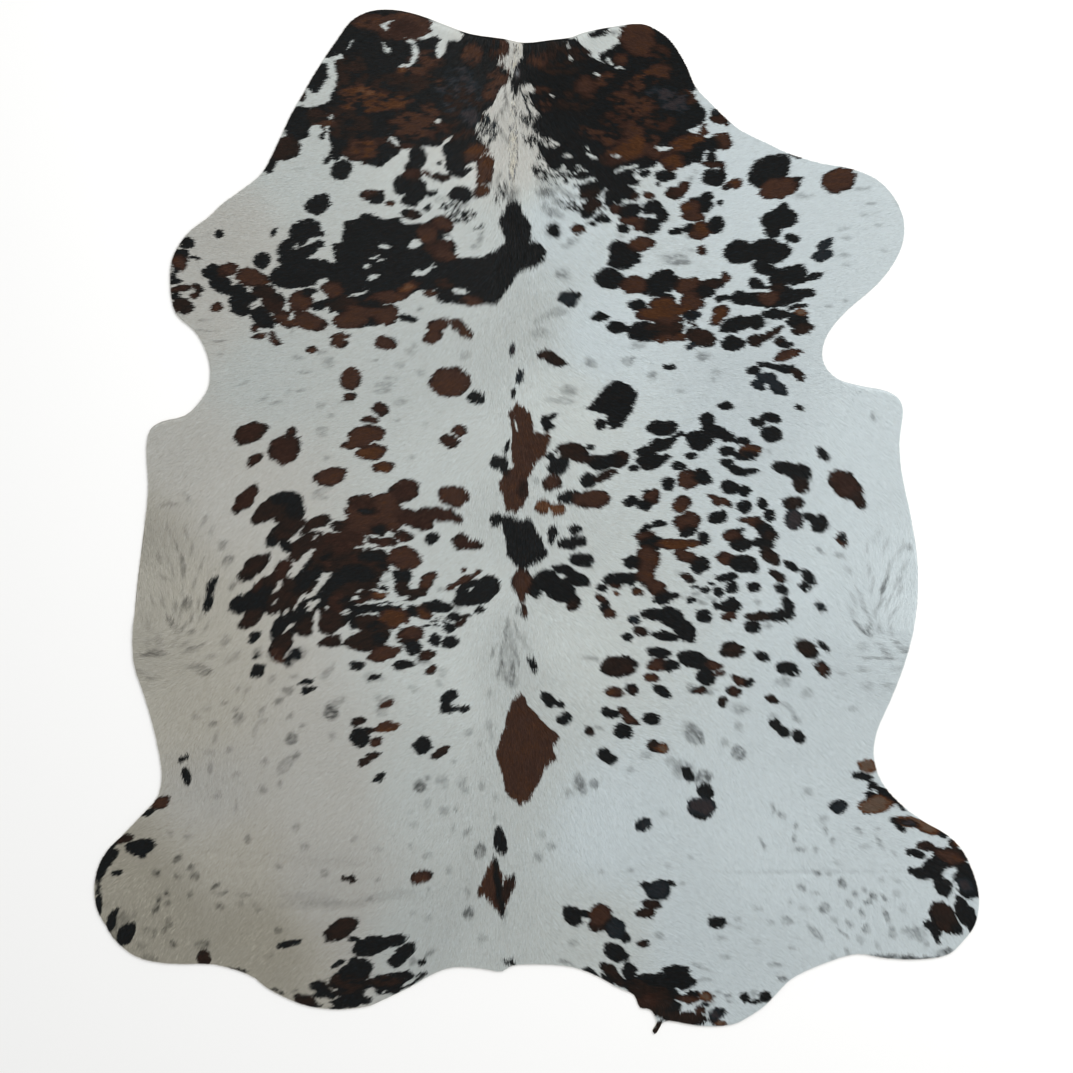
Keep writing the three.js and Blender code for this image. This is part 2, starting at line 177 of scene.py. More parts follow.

# The single marks: a letter, then each of its marks as column,row,long,wide and, where it leans, the lean in
# degrees from level, rising to the right. A letter holds until the next one. Not every mark is the coat's own
# colour: each F mark is painted shade in a fold, and the notes above some tables name other marks that are
# painted shade.
MARKS = {
    "left neck": """
        s 350,75,36,44 350,125,44,30 340,120,40,34 470,120,30,34 p 450,80,44,24 C 404,27,56,28,-3
        c 415,126,56,30,-8 K 427,44,22,15 c 378,22,50,16 B 385,35,30,10 K 372,40,24,14 r 366,96,52,24,-5
        372,105,62,14 n 372,92,24,8,-10 r 392,98,40,14,-8 c 430,112,22,20,80 b 400,142,50,14
        B 360,149,34,22,10 r 364,148,26,20 c 322,124,22,16 n 467,54,16,9,75 c 472,56,18,24 498,50,24,18,80
        499,76,20,20,80 425,62,36,22 N 402,70,12,8,30 c 422,76,32,18 490,92,22,14,60 r 474,152,30,16
        C 470,158,20,10 k 440,72,26,12 400,90,20,8,-10 b 450,132,44,18 W 445,31,34,18,-25 441,48,20,9,70
        428,36,20,4,8 411,41,12,4,-15 415,50,14,6,-75 413,60,12,5,60 405,66,14,3,10 386,51,10,3,-30
        379,53,11,3,15 350,45,9,2,60 337,58,14,5,20 394,142,14,4,-45 390,140,6,5 438,120,6,4,60
        329,117,4,2,70 443,144,10,2,40 438,152,12,10 470,166,18,3,8 C 485,169,30,18,80 481,191,18,12,15
        K 455,160,18,30 456,172,16,12 447,150,10,14 372,52,22,14 W 446,141,14,3,35 385,26,5,7 s 400,84,60,22
        P 462,98,40,40 s 462,104,40,44 B 404,29,34,20 c 410,128,34,18,-10 440,82,14,8 p 470,118,20,20
        c 500,70,16,12,80 W 387,23,9,2,20 384,27,4,3,-60 384,47,3,8
        """,
    # In this table the thin D and H streaks at the nape, about columns 497 to 518 and rows 96 to 140, are
    # partly dark roots and partly painted shade between tufts of long hair.
    "left collar": """
        K 318,78,32,20,62 S 302,98,10,4,60 K 296,113,16,8,55 299,126,27,27 S 315,115,16,16 287,148,28,24,20
        277,154,16,14,60 K 270,166,16,11,60 G 300,168,6,2 K 317,205,26,19,20 323,199,14,8,30 321,133,11,8,75
        W 315,131,12,12,90 332,72,22,8,-80 328,88,24,12,70 316,99,28,12,25 K 341,170,24,18,30 327,160,9,5,50
        336,157,10,8 333,153,8,5,30 B 372,194,25,11,5 K 376,199,16,10 381,194,8,10 R 390,203,9,6
        C 363,163,4,3 K 417,158,22,20,80 413,166,18,10 B 412,175,22,12 C 428,174,10,5,-20 K 440,163,5,4
        S 441,178,18,11,-8 K 402,186,18,18 414,190,28,22,-10 410,200,18,10 400,180,10,10 412,203,12,8
        428,193,16,8,-5 460,195,23,16 C 485,168,26,13,80 R 488,160,14,10 C 479,182,10,6,80 R 482,190,14,8,15
        D 489,182,5,4 K 427,208,6,5 S 412,214,20,10 K 404,212,8,6 368,219,18,10 Q 460,216,26,14
        K 457,221,6,4 465,215,8,4,80 474,214,4,3 Q 480,227,12,10 D 481,237,8,6,90 476,246,12,4,20
        Q 450,208,18,8 D 462,206,14,4,20 470,199,10,3,30 G 440,200,10,6 L 487,120,6,10 492,127,14,5,60
        494,134,14,4,50 484,133,5,8,80 k 489,141,10,3,50 L 511,84,30,1.8,-85 D 505,190,20,6,80
        498,178,16,5,70 Q 500,192,20,10,70 H 506,96,20,2,-80 D 518,98,18,2,80 H 500,112,20,2,60
        D 505,105,22,2,70 507,140,12,2,-45 H 497,124,14,2,-60 502,130,18,2,-55 Q 484,128,9,18,80
        """,
    "right neck": """
        s 560,60,50,30 b 622,120,44,20 s 575,100,40,20 K 560,152,30,26,-20 578,160,34,18,10 600,164,30,16
        552,140,24,16 b 655,52,16,34,80 K 600,33,20,8,15 D 614,33,5,5 C 637,38,36,36 620,60,14,14,70
        c 537,60,18,15 K 604,56,12,6,30 B 586,52,10,6,-50 C 586,86,20,24,80 c 600,80,30,12,20 619,96,20,10
        r 648,76,30,12,20 c 640,84,36,14,20 660,72,24,16 636,105,40,20 C 686,98,15,20,80 r 684,100,12,12
        C 632,132,26,12 R 628,152,46,20,10 r 640,142,36,14,10 C 650,150,16,18 R 685,143,38,16,20
        672,162,24,18 C 661,152,12,10 B 612,160,24,12 c 610,138,24,14 545,105,16,12 542,90,14,6
        b 660,122,30,16 c 590,132,26,10 B 719,118,22,16,-45 P 714,112,10,8,-45 C 722,141,20,18
        704,130,12,10,70 K 712,145,16,16 711,157,10,8 B 712,164,22,8,-5 721,167,8,8 K 697,158,12,10
        Q 535,100,10,30,80 k 530,120,10,30,85 Q 545,170,26,18,-10 L 528,108,16,2,-50 524,118,14,1.6,-60
        527,142,16,1.6,-50 522,96,16,1.6,-70 W 567,47,4,3 570,59,4,3 588,148,6,3,-50 592,156,12,3,-15
        616,156,9,2 663,148,16,4 548,141,24,4,-15 610,62,10,4,-50 619,69,10,3 703,99,22,10,-45
        708,114,14,5,80 713,128,14,8 694,130,14,5,10 546,152,8,3,30 724,129,12,5,-30 K 545,130,14,12
        548,150,22,16,-50 543,128,14,22,80 W 549,144,14,3,-20 Q 537,140,10,50,80 c 640,120,24,14
        p 668,95,44,16,-10 678,108,26,12,-10 672,104,20,10 K 699,150,14,16 W 551,96,5,2 567,157,9,4
        596,74,4,4,60 560,165,12,4,-10 577,167,10,3,20
        """,
    "left foreleg": """
        K 219,234,10,8 186,243,17,10,5 181,253,20,8 194,258,12,4 C 179,262,18,16 K 175,270,8,6
        173,276,8,5,90 176,282,10,6 B 180,289,20,6,12 197,288,13,7,-25 195,295,10,7 K 175,297,10,7,90
        S 184,306,22,15 C 217,308,11,9,30 D 205,331,12,2 G 220,341,14,3 205,320,12,3 220,354,5,3
        K 275,233,9,5,50 262,260,19,17,30 305,229,32,19,15 315,234,18,7,5 300,236,26,16,40 292,247,30,18,25
        315,245,20,10,20 302,252,34,12,15 W 295,247,4,6 K 292,258,28,16,20 300,273,64,28,12 212,272,22,14,10
        222,284,26,18,-20 235,290,26,16,-20 C 228,270,20,12,25 252,278,34,18,-12 K 244,300,30,18,5
        243,311,22,8,-10 W 257,302,18,4,30 K 262,318,20,22,60 268,324,14,10 C 300,301,24,22,-10
        284,318,16,24,70 308,321,38,16,-12 B 296,312,12,10 K 319,305,18,9,10 309,292,18,8,10
        W 292,316,10,3,60 G 291,330,8,3,90 C 254,328,9,7,60 259,337,16,7,5 272,334,6,4 275,341,13,8,-30
        312,350,10,7 W 312,241,20,3,25 319,257,14,4,-20 S 273,302,24,20 264,291,24,14 W 236,281,9,3,35
        """,
    "left shoulder": """
        W 445,236,12,4,-35 415,245,12,9,20 385,247,11,4 375,257,8,2,20 382,260,8,2,20 366,267,8,4,25
        373,278,12,5,10 423,272,20,5,18 434,266,4,3 357,294,20,3,20 320,289,24,14,65 333,316,8,12,80
        460,291,16,5,-10 425,292,14,3 K 311,292,14,7,10 C 427,234,20,22,80 443,223,22,13,-20
        K 440,236,12,8,80 B 440,246,32,14,5 C 446,256,24,12 332,289,16,22,80 S 344,303,34,14,5
        C 350,320,36,18,8 362,312,36,14 386,314,26,20,25 388,297,46,12,8 N 408,287,22,10,20
        C 430,294,13,7,-10 B 444,284,15,9 K 372,303,26,8,5 445,296,20,14,-20 457,300,14,10
        C 472,301,22,11,-5 D 419,308,6,4 K 408,318,20,7,-5 C 437,325,24,12,15 433,336,20,14,25
        459,326,20,12,-25 466,333,16,10,-25 341,336,20,6,5 339,343,16,10 385,343,23,14 350,379,24,20,70
        352,374,16,14 B 350,397,14,7,15 381,409,18,13,-10 370,420,18,8,-5 C 366,435,38,18,8 355,443,30,12,15
        W 358,449,14,3,15 R 372,452,31,16,10 C 450,382,43,31 K 476,398,16,13 C 459,431,14,10,-15
        B 449,441,19,12,-10 P 512,350,12,5,85 L 519,376,13,8,85 K 514,393,10,4,80 G 328,362,12,10
        375,360,6,5 420,372,8,5 385,385,22,6 383,391,20,5 390,379,14,4 400,365,8,6 465,355,8,8 415,345,5,4
        320,405,8,8 330,415,6,6 322,432,12,10 400,402,12,6 396,420,6,3 426,424,6,5 326,458,8,5,30
        322,490,18,5,20 320,497,16,5 411,457,6,4 275,403,12,4,20 262,398,10,4,30 288,391,8,4,60 298,358,10,5
        320,352,14,4 306,372,12,4 410,352,6,10,80 300,390,8,3 345,402,14,3 242,383,14,3,20
        """,
    "spine": """
        y 513,145,80,9,90 K 527,252,34,24,-5 P 522,612,8,4,80 y 516,60,30,8,90 W 515,426,10,3,-70
        K 507,446,14,5,80 499,462,20,14 505,472,12,8,-50 S 523,488,24,12,90 K 496,519,16,12,80
        C 522,582,28,22,90 521,597,14,8,90 D 517,611,9,4,85 C 524,611,13,6,-80 K 532,663,17,8,-62
        500,840,28,12,-78 495,865,16,6,-80 S 499,892,40,10,90 W 503,878,14,2,80 G 505,915,14,3,80
        K 509,961,11,5 D 495,818,6,3,90 K 498,888,56,6,-82 S 508,887,28,10,68 D 503,645,26,4,76
        512,672,24,5,88 500,668,20,4,74 517,657,24,4,-84 507,628,18,4,80 516,630,16,3,-76 494,650,14,3,60
        G 524,640,20,5,-60 508,655,50,12,84 511,680,14,16,80 K 514,225,28,28,88 513,210,20,15,88
        H 512,192,18,4,88 D 516,194,14,6,80 508,197,14,5,-80
        """,
    # In this table the thin D, G and H streaks of the left whorl, about columns 140 to 230 and rows 495 to
    # 680, are partly darker hair tips and partly painted shade between the whorl's locks.
    "left flank": """
        K 288,502,30,24 S 270,509,36,18,30 K 280,499,20,14 S 318,540,44,14,10 312,553,34,16,25
        B 330,548,40,24 S 300,598,50,40,30 322,612,40,40 B 250,433,36,19,22 292,432,13,9,25 285,449,34,28,30
        255,459,17,9,42 245,499,38,15,48 S 268,514,38,14,20 290,519,36,18,-10 K 296,512,20,14
        S 285,531,36,18,30 K 272,541,13,15 S 308,529,18,8,35 320,522,26,11,25 338,526,15,10
        B 322,541,30,16,10 S 305,546,44,20,30 K 286,545,13,12 S 340,556,54,34,20 B 348,546,30,16,10
        S 256,564,30,18,35 246,575,18,12,10 277,576,36,20,45 B 283,569,20,12,60 K 304,577,40,18,58
        S 318,566,20,14,30 K 260,600,44,26,20 S 281,596,44,18,50 K 240,604,20,18,20 S 251,618,28,15,40
        K 325,600,42,20,8 330,591,32,20 295,621,44,24,15 S 305,626,24,22 K 279,632,22,16,45
        S 281,645,32,18,50 K 254,637,14,10,45 S 333,617,28,28 327,628,18,14 333,641,30,11,12 C 325,565,8,6
        K 327,556,12,7,30 B 258,585,14,8,50 311,550,12,8,40 C 279,659,13,8,10 K 296,654,13,9,10
        D 296,654,20,14 C 277,652,12,8,30 K 288,661,7,6 D 288,661,14,10 K 255,656,8,4,40 D 257,653,14,8,40
        K 212,585,21,8,68 211,601,17,7,80 315,575,12,30,-40 300,612,14,26,-30 211,584,19,9,65
        210,601,18,9,75 G 228,560,14,8,45 232,585,10,6,45 222,545,10,6,45 225,640,12,8,45 235,655,10,6,45
        240,625,8,6,45 D 183,565,24,4,-86 G 171,565,20,3,-62 165,577,16,3,-25 201,565,10,4,80
        H 187,602,11,11 D 175,605,12,4,85 H 172,622,18,4,-66 D 192,616,14,4,80 182,628,16,4,62 192,631,7,5
        G 207,626,14,3,65 201,615,8,4,80 D 160,638,14,4,-76 G 150,641,8,4,-50 H 150,655,16,4,8
        D 158,652,16,6,-8 176,641,10,3,60 196,647,22,4,16 G 190,652,16,3,10 D 203,666,10,4,-20
        207,672,12,5,-5 G 141,672,12,5,-30 150,678,8,4 193,667,10,4 186,533,12,3,-70 177,545,14,3,-65
        192,548,12,3,80 168,530,12,3,-60 196,582,14,3,75 164,600,12,3,-75 183,588,10,3,85 180,613,10,4,80
        199,603,12,3,75 170,505,22,4,5 188,498,12,3,-50 205,520,12,4,60 160,558,10,3,-50 152,600,12,3,-70
        150,625,10,4,-60 186,643,12,3,40 212,655,10,4,10 212,530,8,4,60 222,544,9,6,45 228,560,12,7,45
        232,585,9,5,45 W 303,562,28,4,50 268,572,12,5,45 326,577,14,5,30 303,598,12,4,45 277,587,10,4,45
        289,627,14,3,35 286,612,8,3,50 330,606,8,4,40 312,609,10,3,30 320,638,14,3,30 284,557,12,3,45
        345,570,10,2,30 318,587,34,5,45 264,574,28,4,45 263,622,20,4,50 328,531,14,2,35 316,537,10,2,35
        306,556,10,5,40 291,571,10,4,60 309,604,8,3,50 341,606,6,3,60 296,606,8,2,50 275,601,6,2,50
        303,559,34,6,43 270,570,22,5,45 277,586,16,4,55 315,603,14,5,45 316,624,28,6,82 264,628,18,4,70
        """,
    "left side": """
        C 388,500,28,16 376,511,60,20 B 352,532,22,20 352,540,40,22 S 365,566,50,40 B 350,600,44,30,10
        R 383,467,21,12 C 330,476,31,18,10 B 405,491,30,22 362,503,28,20 C 374,522,58,26 B 414,519,42,18,-15
        440,514,44,14,-10 455,519,16,8,-10 K 380,529,20,13 L 368,510,18,7 B 340,540,20,12
        C 454,496,32,20,-10 B 461,541,18,16 471,543,24,11,-10 K 432,538,12,11 B 403,536,19,10,-10
        K 391,540,8,7 B 383,542,28,10 C 400,537,10,5 B 372,560,40,22 K 373,556,32,15 352,577,48,26,10
        S 360,590,40,18 K 382,566,14,8 C 404,558,32,24,-10 414,561,16,13 K 402,577,22,16,10 S 402,588,14,14
        G 385,574,10,4,20 D 384,582,8,3,30 C 427,582,20,14,68 431,576,12,10 S 413,594,30,11,10 D 439,589,5,4
        S 363,596,9,7 N 380,595,16,8,12 K 372,608,50,9,12 355,607,26,11 397,607,9,8 346,600,16,8,20
        352,622,16,16 S 368,621,26,16,10 K 384,612,12,6 R 394,618,30,22 K 377,627,20,12,15 S 380,634,18,18
        404,628,10,8 K 412,610,13,12,90 R 424,612,14,15 K 430,606,14,10 440,606,24,13,-5 C 451,587,12,6,20
        464,580,26,8,30 476,572,8,5,20 K 476,592,42,26,15 490,586,20,22 461,602,18,8 C 463,570,6,6
        K 480,610,9,6,40 455,616,13,9 S 467,616,12,5,10 K 449,627,13,10,10 B 461,622,12,6,15 K 427,625,7,3,5
        C 411,634,28,15,15 S 404,640,14,8 K 413,647,18,16 C 396,639,7,4 K 434,640,13,12,25 450,642,17,11,20
        B 426,655,17,9,20 S 366,640,36,22 352,643,16,12 K 380,638,16,14 D 421,660,14,6,20 C 384,652,28,15,8
        376,658,20,8 394,650,14,9 Q 440,622,20,10 D 455,608,10,4 K 384,588,8,4 W 471,538,6,3 354,598,10,3,30
        472,589,3,4 345,611,10,3,30 394,640,10,6 365,545,12,4,70 376,548,12,2,8 386,579,15,12,40
        378,590,12,3 357,631,12,4,15 372,602,30,2,10 384,604,12,2,5 372,614,16,1.6,12 347,614,10,2,20
        397,603,10,3 358,590,6,2,20 367,546,24,3,8 366,539,9,4,60 390,533,9,3,10 345,632,20,6,70
        404,626,10,4,10 401,598,14,4,15 372,489,12,4,15
        """,
    "left loin": """
        K 357,665,14,9,10 403,664,20,9,10 D 424,662,10,6 B 431,670,13,8,35 G 374,677,20,10 K 374,677,14,5,18
        D 386,702,18,10,30 U 388,703,14,6,30 G 378,697,8,6 382,712,12,10 413,689,8,7 442,672,8,8 440,684,7,6
        331,711,18,16,90 340,700,12,9,30 333,735,7,7 328,670,20,7,55 K 448,697,19,11,25 446,708,13,12,30
        456,708,8,5 465,708,12,7,30 S 358,721,16,9,25 K 359,737,20,19 368,730,10,6 U 386,727,24,10,15
        S 373,730,14,4,25 C 375,742,13,8,20 S 372,755,14,8,20 364,762,12,8,25 K 379,778,14,6,40
        422,745,20,16,10 S 440,752,20,8,32 D 420,786,13,13 429,777,6,5 G 443,782,12,12 462,782,10,10
        466,790,8,6 482,785,8,6,90 428,803,7,7 D 456,808,4,4 G 410,812,6,4 414,825,8,5 444,810,10,10
        496,797,6,5 468,733,8,7 488,725,10,8,90 479,743,5,5 454,761,5,5 491,735,8,5,90 488,693,8,5,90
        453,827,6,5 D 468,831,9,5,20 480,851,14,10,80 G 427,856,9,6,30 410,846,5,5 355,839,6,6 379,849,9,4
        449,871,6,6 324,872,9,8 K 258,670,17,12,50 306,681,15,5,20 308,689,16,7,22 G 227,659,7,6
        205,672,16,5 195,665,14,3 238,689,7,5,50 247,692,7,4,50 272,678,10,6,40 D 287,690,12,9 G 294,676,8,4
        D 279,701,9,6,40 G 226,702,8,5 D 236,709,8,4,40 264,708,8,4,40 239,719,12,9,70 G 261,715,5,4
        256,728,14,4,60 265,721,8,4,30 D 289,716,8,5,45 302,726,7,4,35 213,724,7,6 G 215,737,12,6,70
        229,749,8,6,60 D 291,739,11,10 295,755,8,6,45 G 285,765,22,12,50 265,761,8,6 210,767,10,5,80
        236,774,6,4 263,788,9,8 280,783,8,4,80 218,795,6,6 236,808,10,4,80 297,826,8,6,45 205,708,8,4
        196,717,6,5 210,752,10,6 C 387,726,23,9,12 B 388,703,14,6,30 H 420,787,12,11 331,712,16,12,80
        D 291,739,8,10 H 480,850,10,9,80
        """,
    # In this table the thin black marks at 278,991 and 235,968 are painted shade along the rim, not black
    # hair.
    "left hind leg": """
        K 184,758,9,5,30 186,776,19,8,-78 C 160,803,22,11,25 K 149,812,14,6,40 S 123,839,18,9,15
        K 112,847,14,5,45 139,847,28,16,5 147,845,14,12 141,853,10,8 111,854,18,10,30 104,864,22,10,60
        100,874,18,9,65 117,872,12,5,25 97,888,12,4,90 99,903,20,6,90 112,922,22,7,65 125,934,24,15,55
        S 204,958,14,12,90 K 283,944,14,6,12 296,941,12,4,20 S 303,997,18,7,-5 K 310,1004,24,5,-8
        278,991,12,3,-25 235,968,25,2,-8 H 248,838,8,6,80 G 170,834,6,6 187,837,8,5 305,846,8,8 278,867,7,5
        H 191,868,7,6 157,873,7,7 178,876,6,5 195,876,10,8 178,858,9,6,30 166,892,6,5,80 159,900,10,5,75
        167,903,5,5 156,908,10,6,45 190,895,7,6 215,885,8,4,35 G 217,892,8,4 H 225,892,7,4,20 220,906,7,4
        G 240,903,8,5 243,895,12,4 255,904,5,4 258,910,5,4 134,915,7,5,80 H 168,918,5,4 170,924,8,5,70
        165,930,6,6 155,933,8,4,80 G 147,930,8,6 H 172,944,8,7 G 142,945,8,6 D 150,957,16,5,-20
        H 279,930,6,5 295,990,6,3 G 271,955,9,6,40 207,943,8,5,45 K 112,919,27,8,65 126,934,27,16,58
        D 118,925,33,21,60 K 288,943,25,7,14 S 204,957,15,14,90 D 203,945,7,17,90 K 105,862,33,13,55
        """,
    "left rump": """
        K 392,982,53,21,12 372,945,37,19,12 C 421,877,24,12,18 S 345,878,8,5 352,879,9,7 341,929,38,18,28
        K 354,939,14,6,12 372,945,34,16,20 365,950,26,8,5 394,940,26,12,8 403,953,30,14,38 395,962,16,10
        D 413,961,8,6 K 422,963,10,6 D 430,953,12,5,45 K 338,963,14,5,25 358,961,22,10 352,975,46,24,25
        350,990,50,26 418,976,18,8,20 W 411,981,20,3,38 K 395,989,14,8 330,992,34,8,12 W 335,998,30,2,8
        K 346,1002,36,12,5 W 370,993,12,8 K 366,997,8,4 W 328,1003,16,4 K 319,986,20,11 W 334,987,8,6
        G 378,880,6,4 427,890,4,3 369,899,7,5 413,912,6,3 428,917,6,5 D 468,912,11,10 G 467,892,8,6,80
        482,938,8,7 K 352,1000,39,11,5 S 306,1000,25,8,-15 K 388,978,19,9,10 W 384,992,3,3
        K 346,978,35,15,25 H 468,913,9,9 F 310,898,60,12,-8 385,896,60,10,10 320,905,90,10 300,858,120,2,-5
        s 345,982,40,20 385,980,40,12
        """,
    "right collar": """
        K 600,176,50,14 641,166,30,9,15 W 640,171,14,2,10 K 645,174,12,7,10 664,176,20,12 634,168,12,6
        D 690,179,8,4 G 695,173,4,4 K 658,184,6,4 612,180,54,22,-8 600,188,44,18 628,176,16,12 618,194,34,18
        W 604,193,10,3,30 K 590,210,20,16,10 C 616,208,15,9 K 608,203,10,8 629,210,24,14 C 632,220,26,9,-5
        642,225,16,10 K 653,206,20,12 661,214,14,14 647,209,10,12 651,226,18,16 C 648,195,12,8
        683,187,14,10,30 B 676,193,20,12,10 K 700,205,26,16 C 690,209,20,18 R 686,206,12,10 C 693,217,26,8
        R 701,230,20,18 C 697,234,18,8 K 716,225,17,17,10 689,228,12,9 676,231,16,7 C 577,229,13,10
        K 553,231,12,11 D 553,231,18,16 K 624,228,13,9 D 588,223,10,5 K 602,220,16,8 592,224,8,5
        D 549,193,16,8,-10 Q 552,160,30,18 K 556,158,14,10 Q 575,168,24,16 D 562,171,12,12 545,206,12,10
        536,168,6,5 568,205,14,8 Q 598,212,16,10 D 640,205,6,4 G 645,213,8,6 K 713,178,25,18,-15
        720,174,12,10 706,197,13,9 719,203,6,5 R 733,184,18,10,20 K 727,187,8,6 D 688,238,5,3
        C 701,250,10,10 D 635,197,8,4 W 634,187,10,3 626,201,12,3 B 634,196,8,8 G 670,256,22,4 682,262,20,4
        668,262,8,4 690,250,14,3 575,240,12,5 566,247,10,5 D 620,236,8,4 K 556,166,10,8 Q 560,176,40,16
        G 548,178,18,12 D 545,192,22,10,-10 G 552,212,16,12 Q 572,204,22,12 D 556,188,10,6 566,193,9,6
        K 570,184,12,7,-20 D 560,203,10,6 550,212,9,6 K 586,214,12,8 D 575,197,10,6 541,180,10,7
        S 590,193,22,12,15 592,206,20,14 D 582,174,8,5 570,168,10,5,10 K 594,170,12,8 W 586,180,24,3,8
        571,184,16,7,60 625,169,26,3,18 637,178,8,3,-40 601,197,10,2,15 596,216,14,3,30 D 580,210,8,5,20
        G 560,216,10,5 D 556,202,8,5
        """,
    "right shoulder": """
        K 618,249,21,17 C 641,244,27,15,5 K 624,259,35,19,10 608,278,29,21,-5 C 632,284,27,16
        K 664,278,25,16 650,288,31,15 C 688,286,29,17 S 710,285,29,13,10 K 703,292,23,12 C 725,277,10,9,-20
        K 570,297,24,12,12 569,303,11,7 601,317,18,8 637,305,20,12 665,296,19,8,-15 R 662,303,27,13
        C 692,302,25,18,-10 P 690,315,22,8,-5 R 662,312,57,15,8 K 645,332,29,21 668,328,31,17 C 668,321,31,9
        667,338,35,8 K 617,327,19,12 627,329,9,6 S 700,337,31,19,-15 P 691,346,9,7 R 721,312,17,13
        715,320,15,9,20 K 736,324,35,15,15 733,343,24,15 742,298,23,15 722,298,17,7,5 668,367,13,7,-5
        S 546,355,17,10 556,361,21,10,-15 K 600,424,14,10 546,420,12,10 553,416,7,6 548,427,10,9
        725,405,16,9,-5 661,428,31,16 680,434,9,4 707,420,17,13 714,430,29,10,-10 697,437,25,13
        699,445,19,13 665,443,21,10,10 675,436,13,4,15 727,437,16,9,-15 742,441,17,7 G 571,244,8,7
        560,275,12,8 678,260,20,8 590,362,8,7 630,361,8,7 652,375,7,5 680,390,6,5 703,357,8,6
        D 714,380,5,3,90 G 570,391,8,8 635,345,8,6 c 668,331,42,22 K 616,419,18,18,60 664,281,30,20
        C 634,285,24,18 K 640,332,26,18 690,316,18,9,-5 G 563,275,14,14 558,312,20,9 540,333,20,9
        543,318,16,8,30 590,362,10,10 628,362,14,9 652,376,10,8 703,356,16,8 568,391,14,10 560,401,26,6
        715,372,10,6 640,345,12,6 L 568,298,19,13,-15 F 672,258,34,14 s 664,328,40,14 k 650,334,20,8
        s 688,326,20,10
        """,
    "right foreleg": """
        K 768,171,45,29,30 783,161,15,13 C 779,188,41,21,18 K 797,179,9,7,30 794,155,14,4,-12
        779,219,39,21,10 782,208,11,11 772,232,17,13 792,238,16,9,-10 740,252,33,23 768,251,45,24
        765,268,27,13,-15 785,276,35,19,20 797,269,15,11 W 802,275,11,4 K 813,276,17,7,5 800,281,27,6,10
        756,283,15,10,-20 772,297,65,21,3 C 768,297,21,15 S 778,288,15,9 K 803,293,23,8 775,314,27,11
        797,307,21,5,15 797,319,21,16,25 U 801,312,11,6 S 802,329,23,12,20 K 755,322,19,15,10
        D 765,324,10,4,20 S 770,334,31,8,28 754,341,15,11 780,341,11,9 K 786,345,13,7,5 C 787,355,29,10,12
        K 768,365,23,6,-10 785,369,25,9,-12 S 797,374,15,10,-40 K 753,370,13,9,10 L 766,378,23,11,-10
        777,387,21,11,-40 758,385,15,8,-20 K 799,407,10,5,-35 770,418,22,10,-5 757,422,15,8,-15
        771,434,24,16,-10 D 873,416,8,4,-70 G 803,197,8,3,10 812,195,5,2 872,203,6,2 876,212,5,3 866,187,7,2
        897,203,4,4 C 838,180,36,23,22 G 843,230,12,4 847,238,10,4 842,256,12,5 846,265,8,3 865,215,8,4
        878,225,5,4 858,188,8,3 870,203,7,3 885,250,7,3 845,300,6,4 830,305,6,3 800,195,10,4 808,198,6,3
        K 800,272,14,12,10 L 822,255,21,11,15 824,244,17,10,30 K 789,278,30,12,-8 W 756,290,28,3,-5
        801,285,16,2,8
        """,
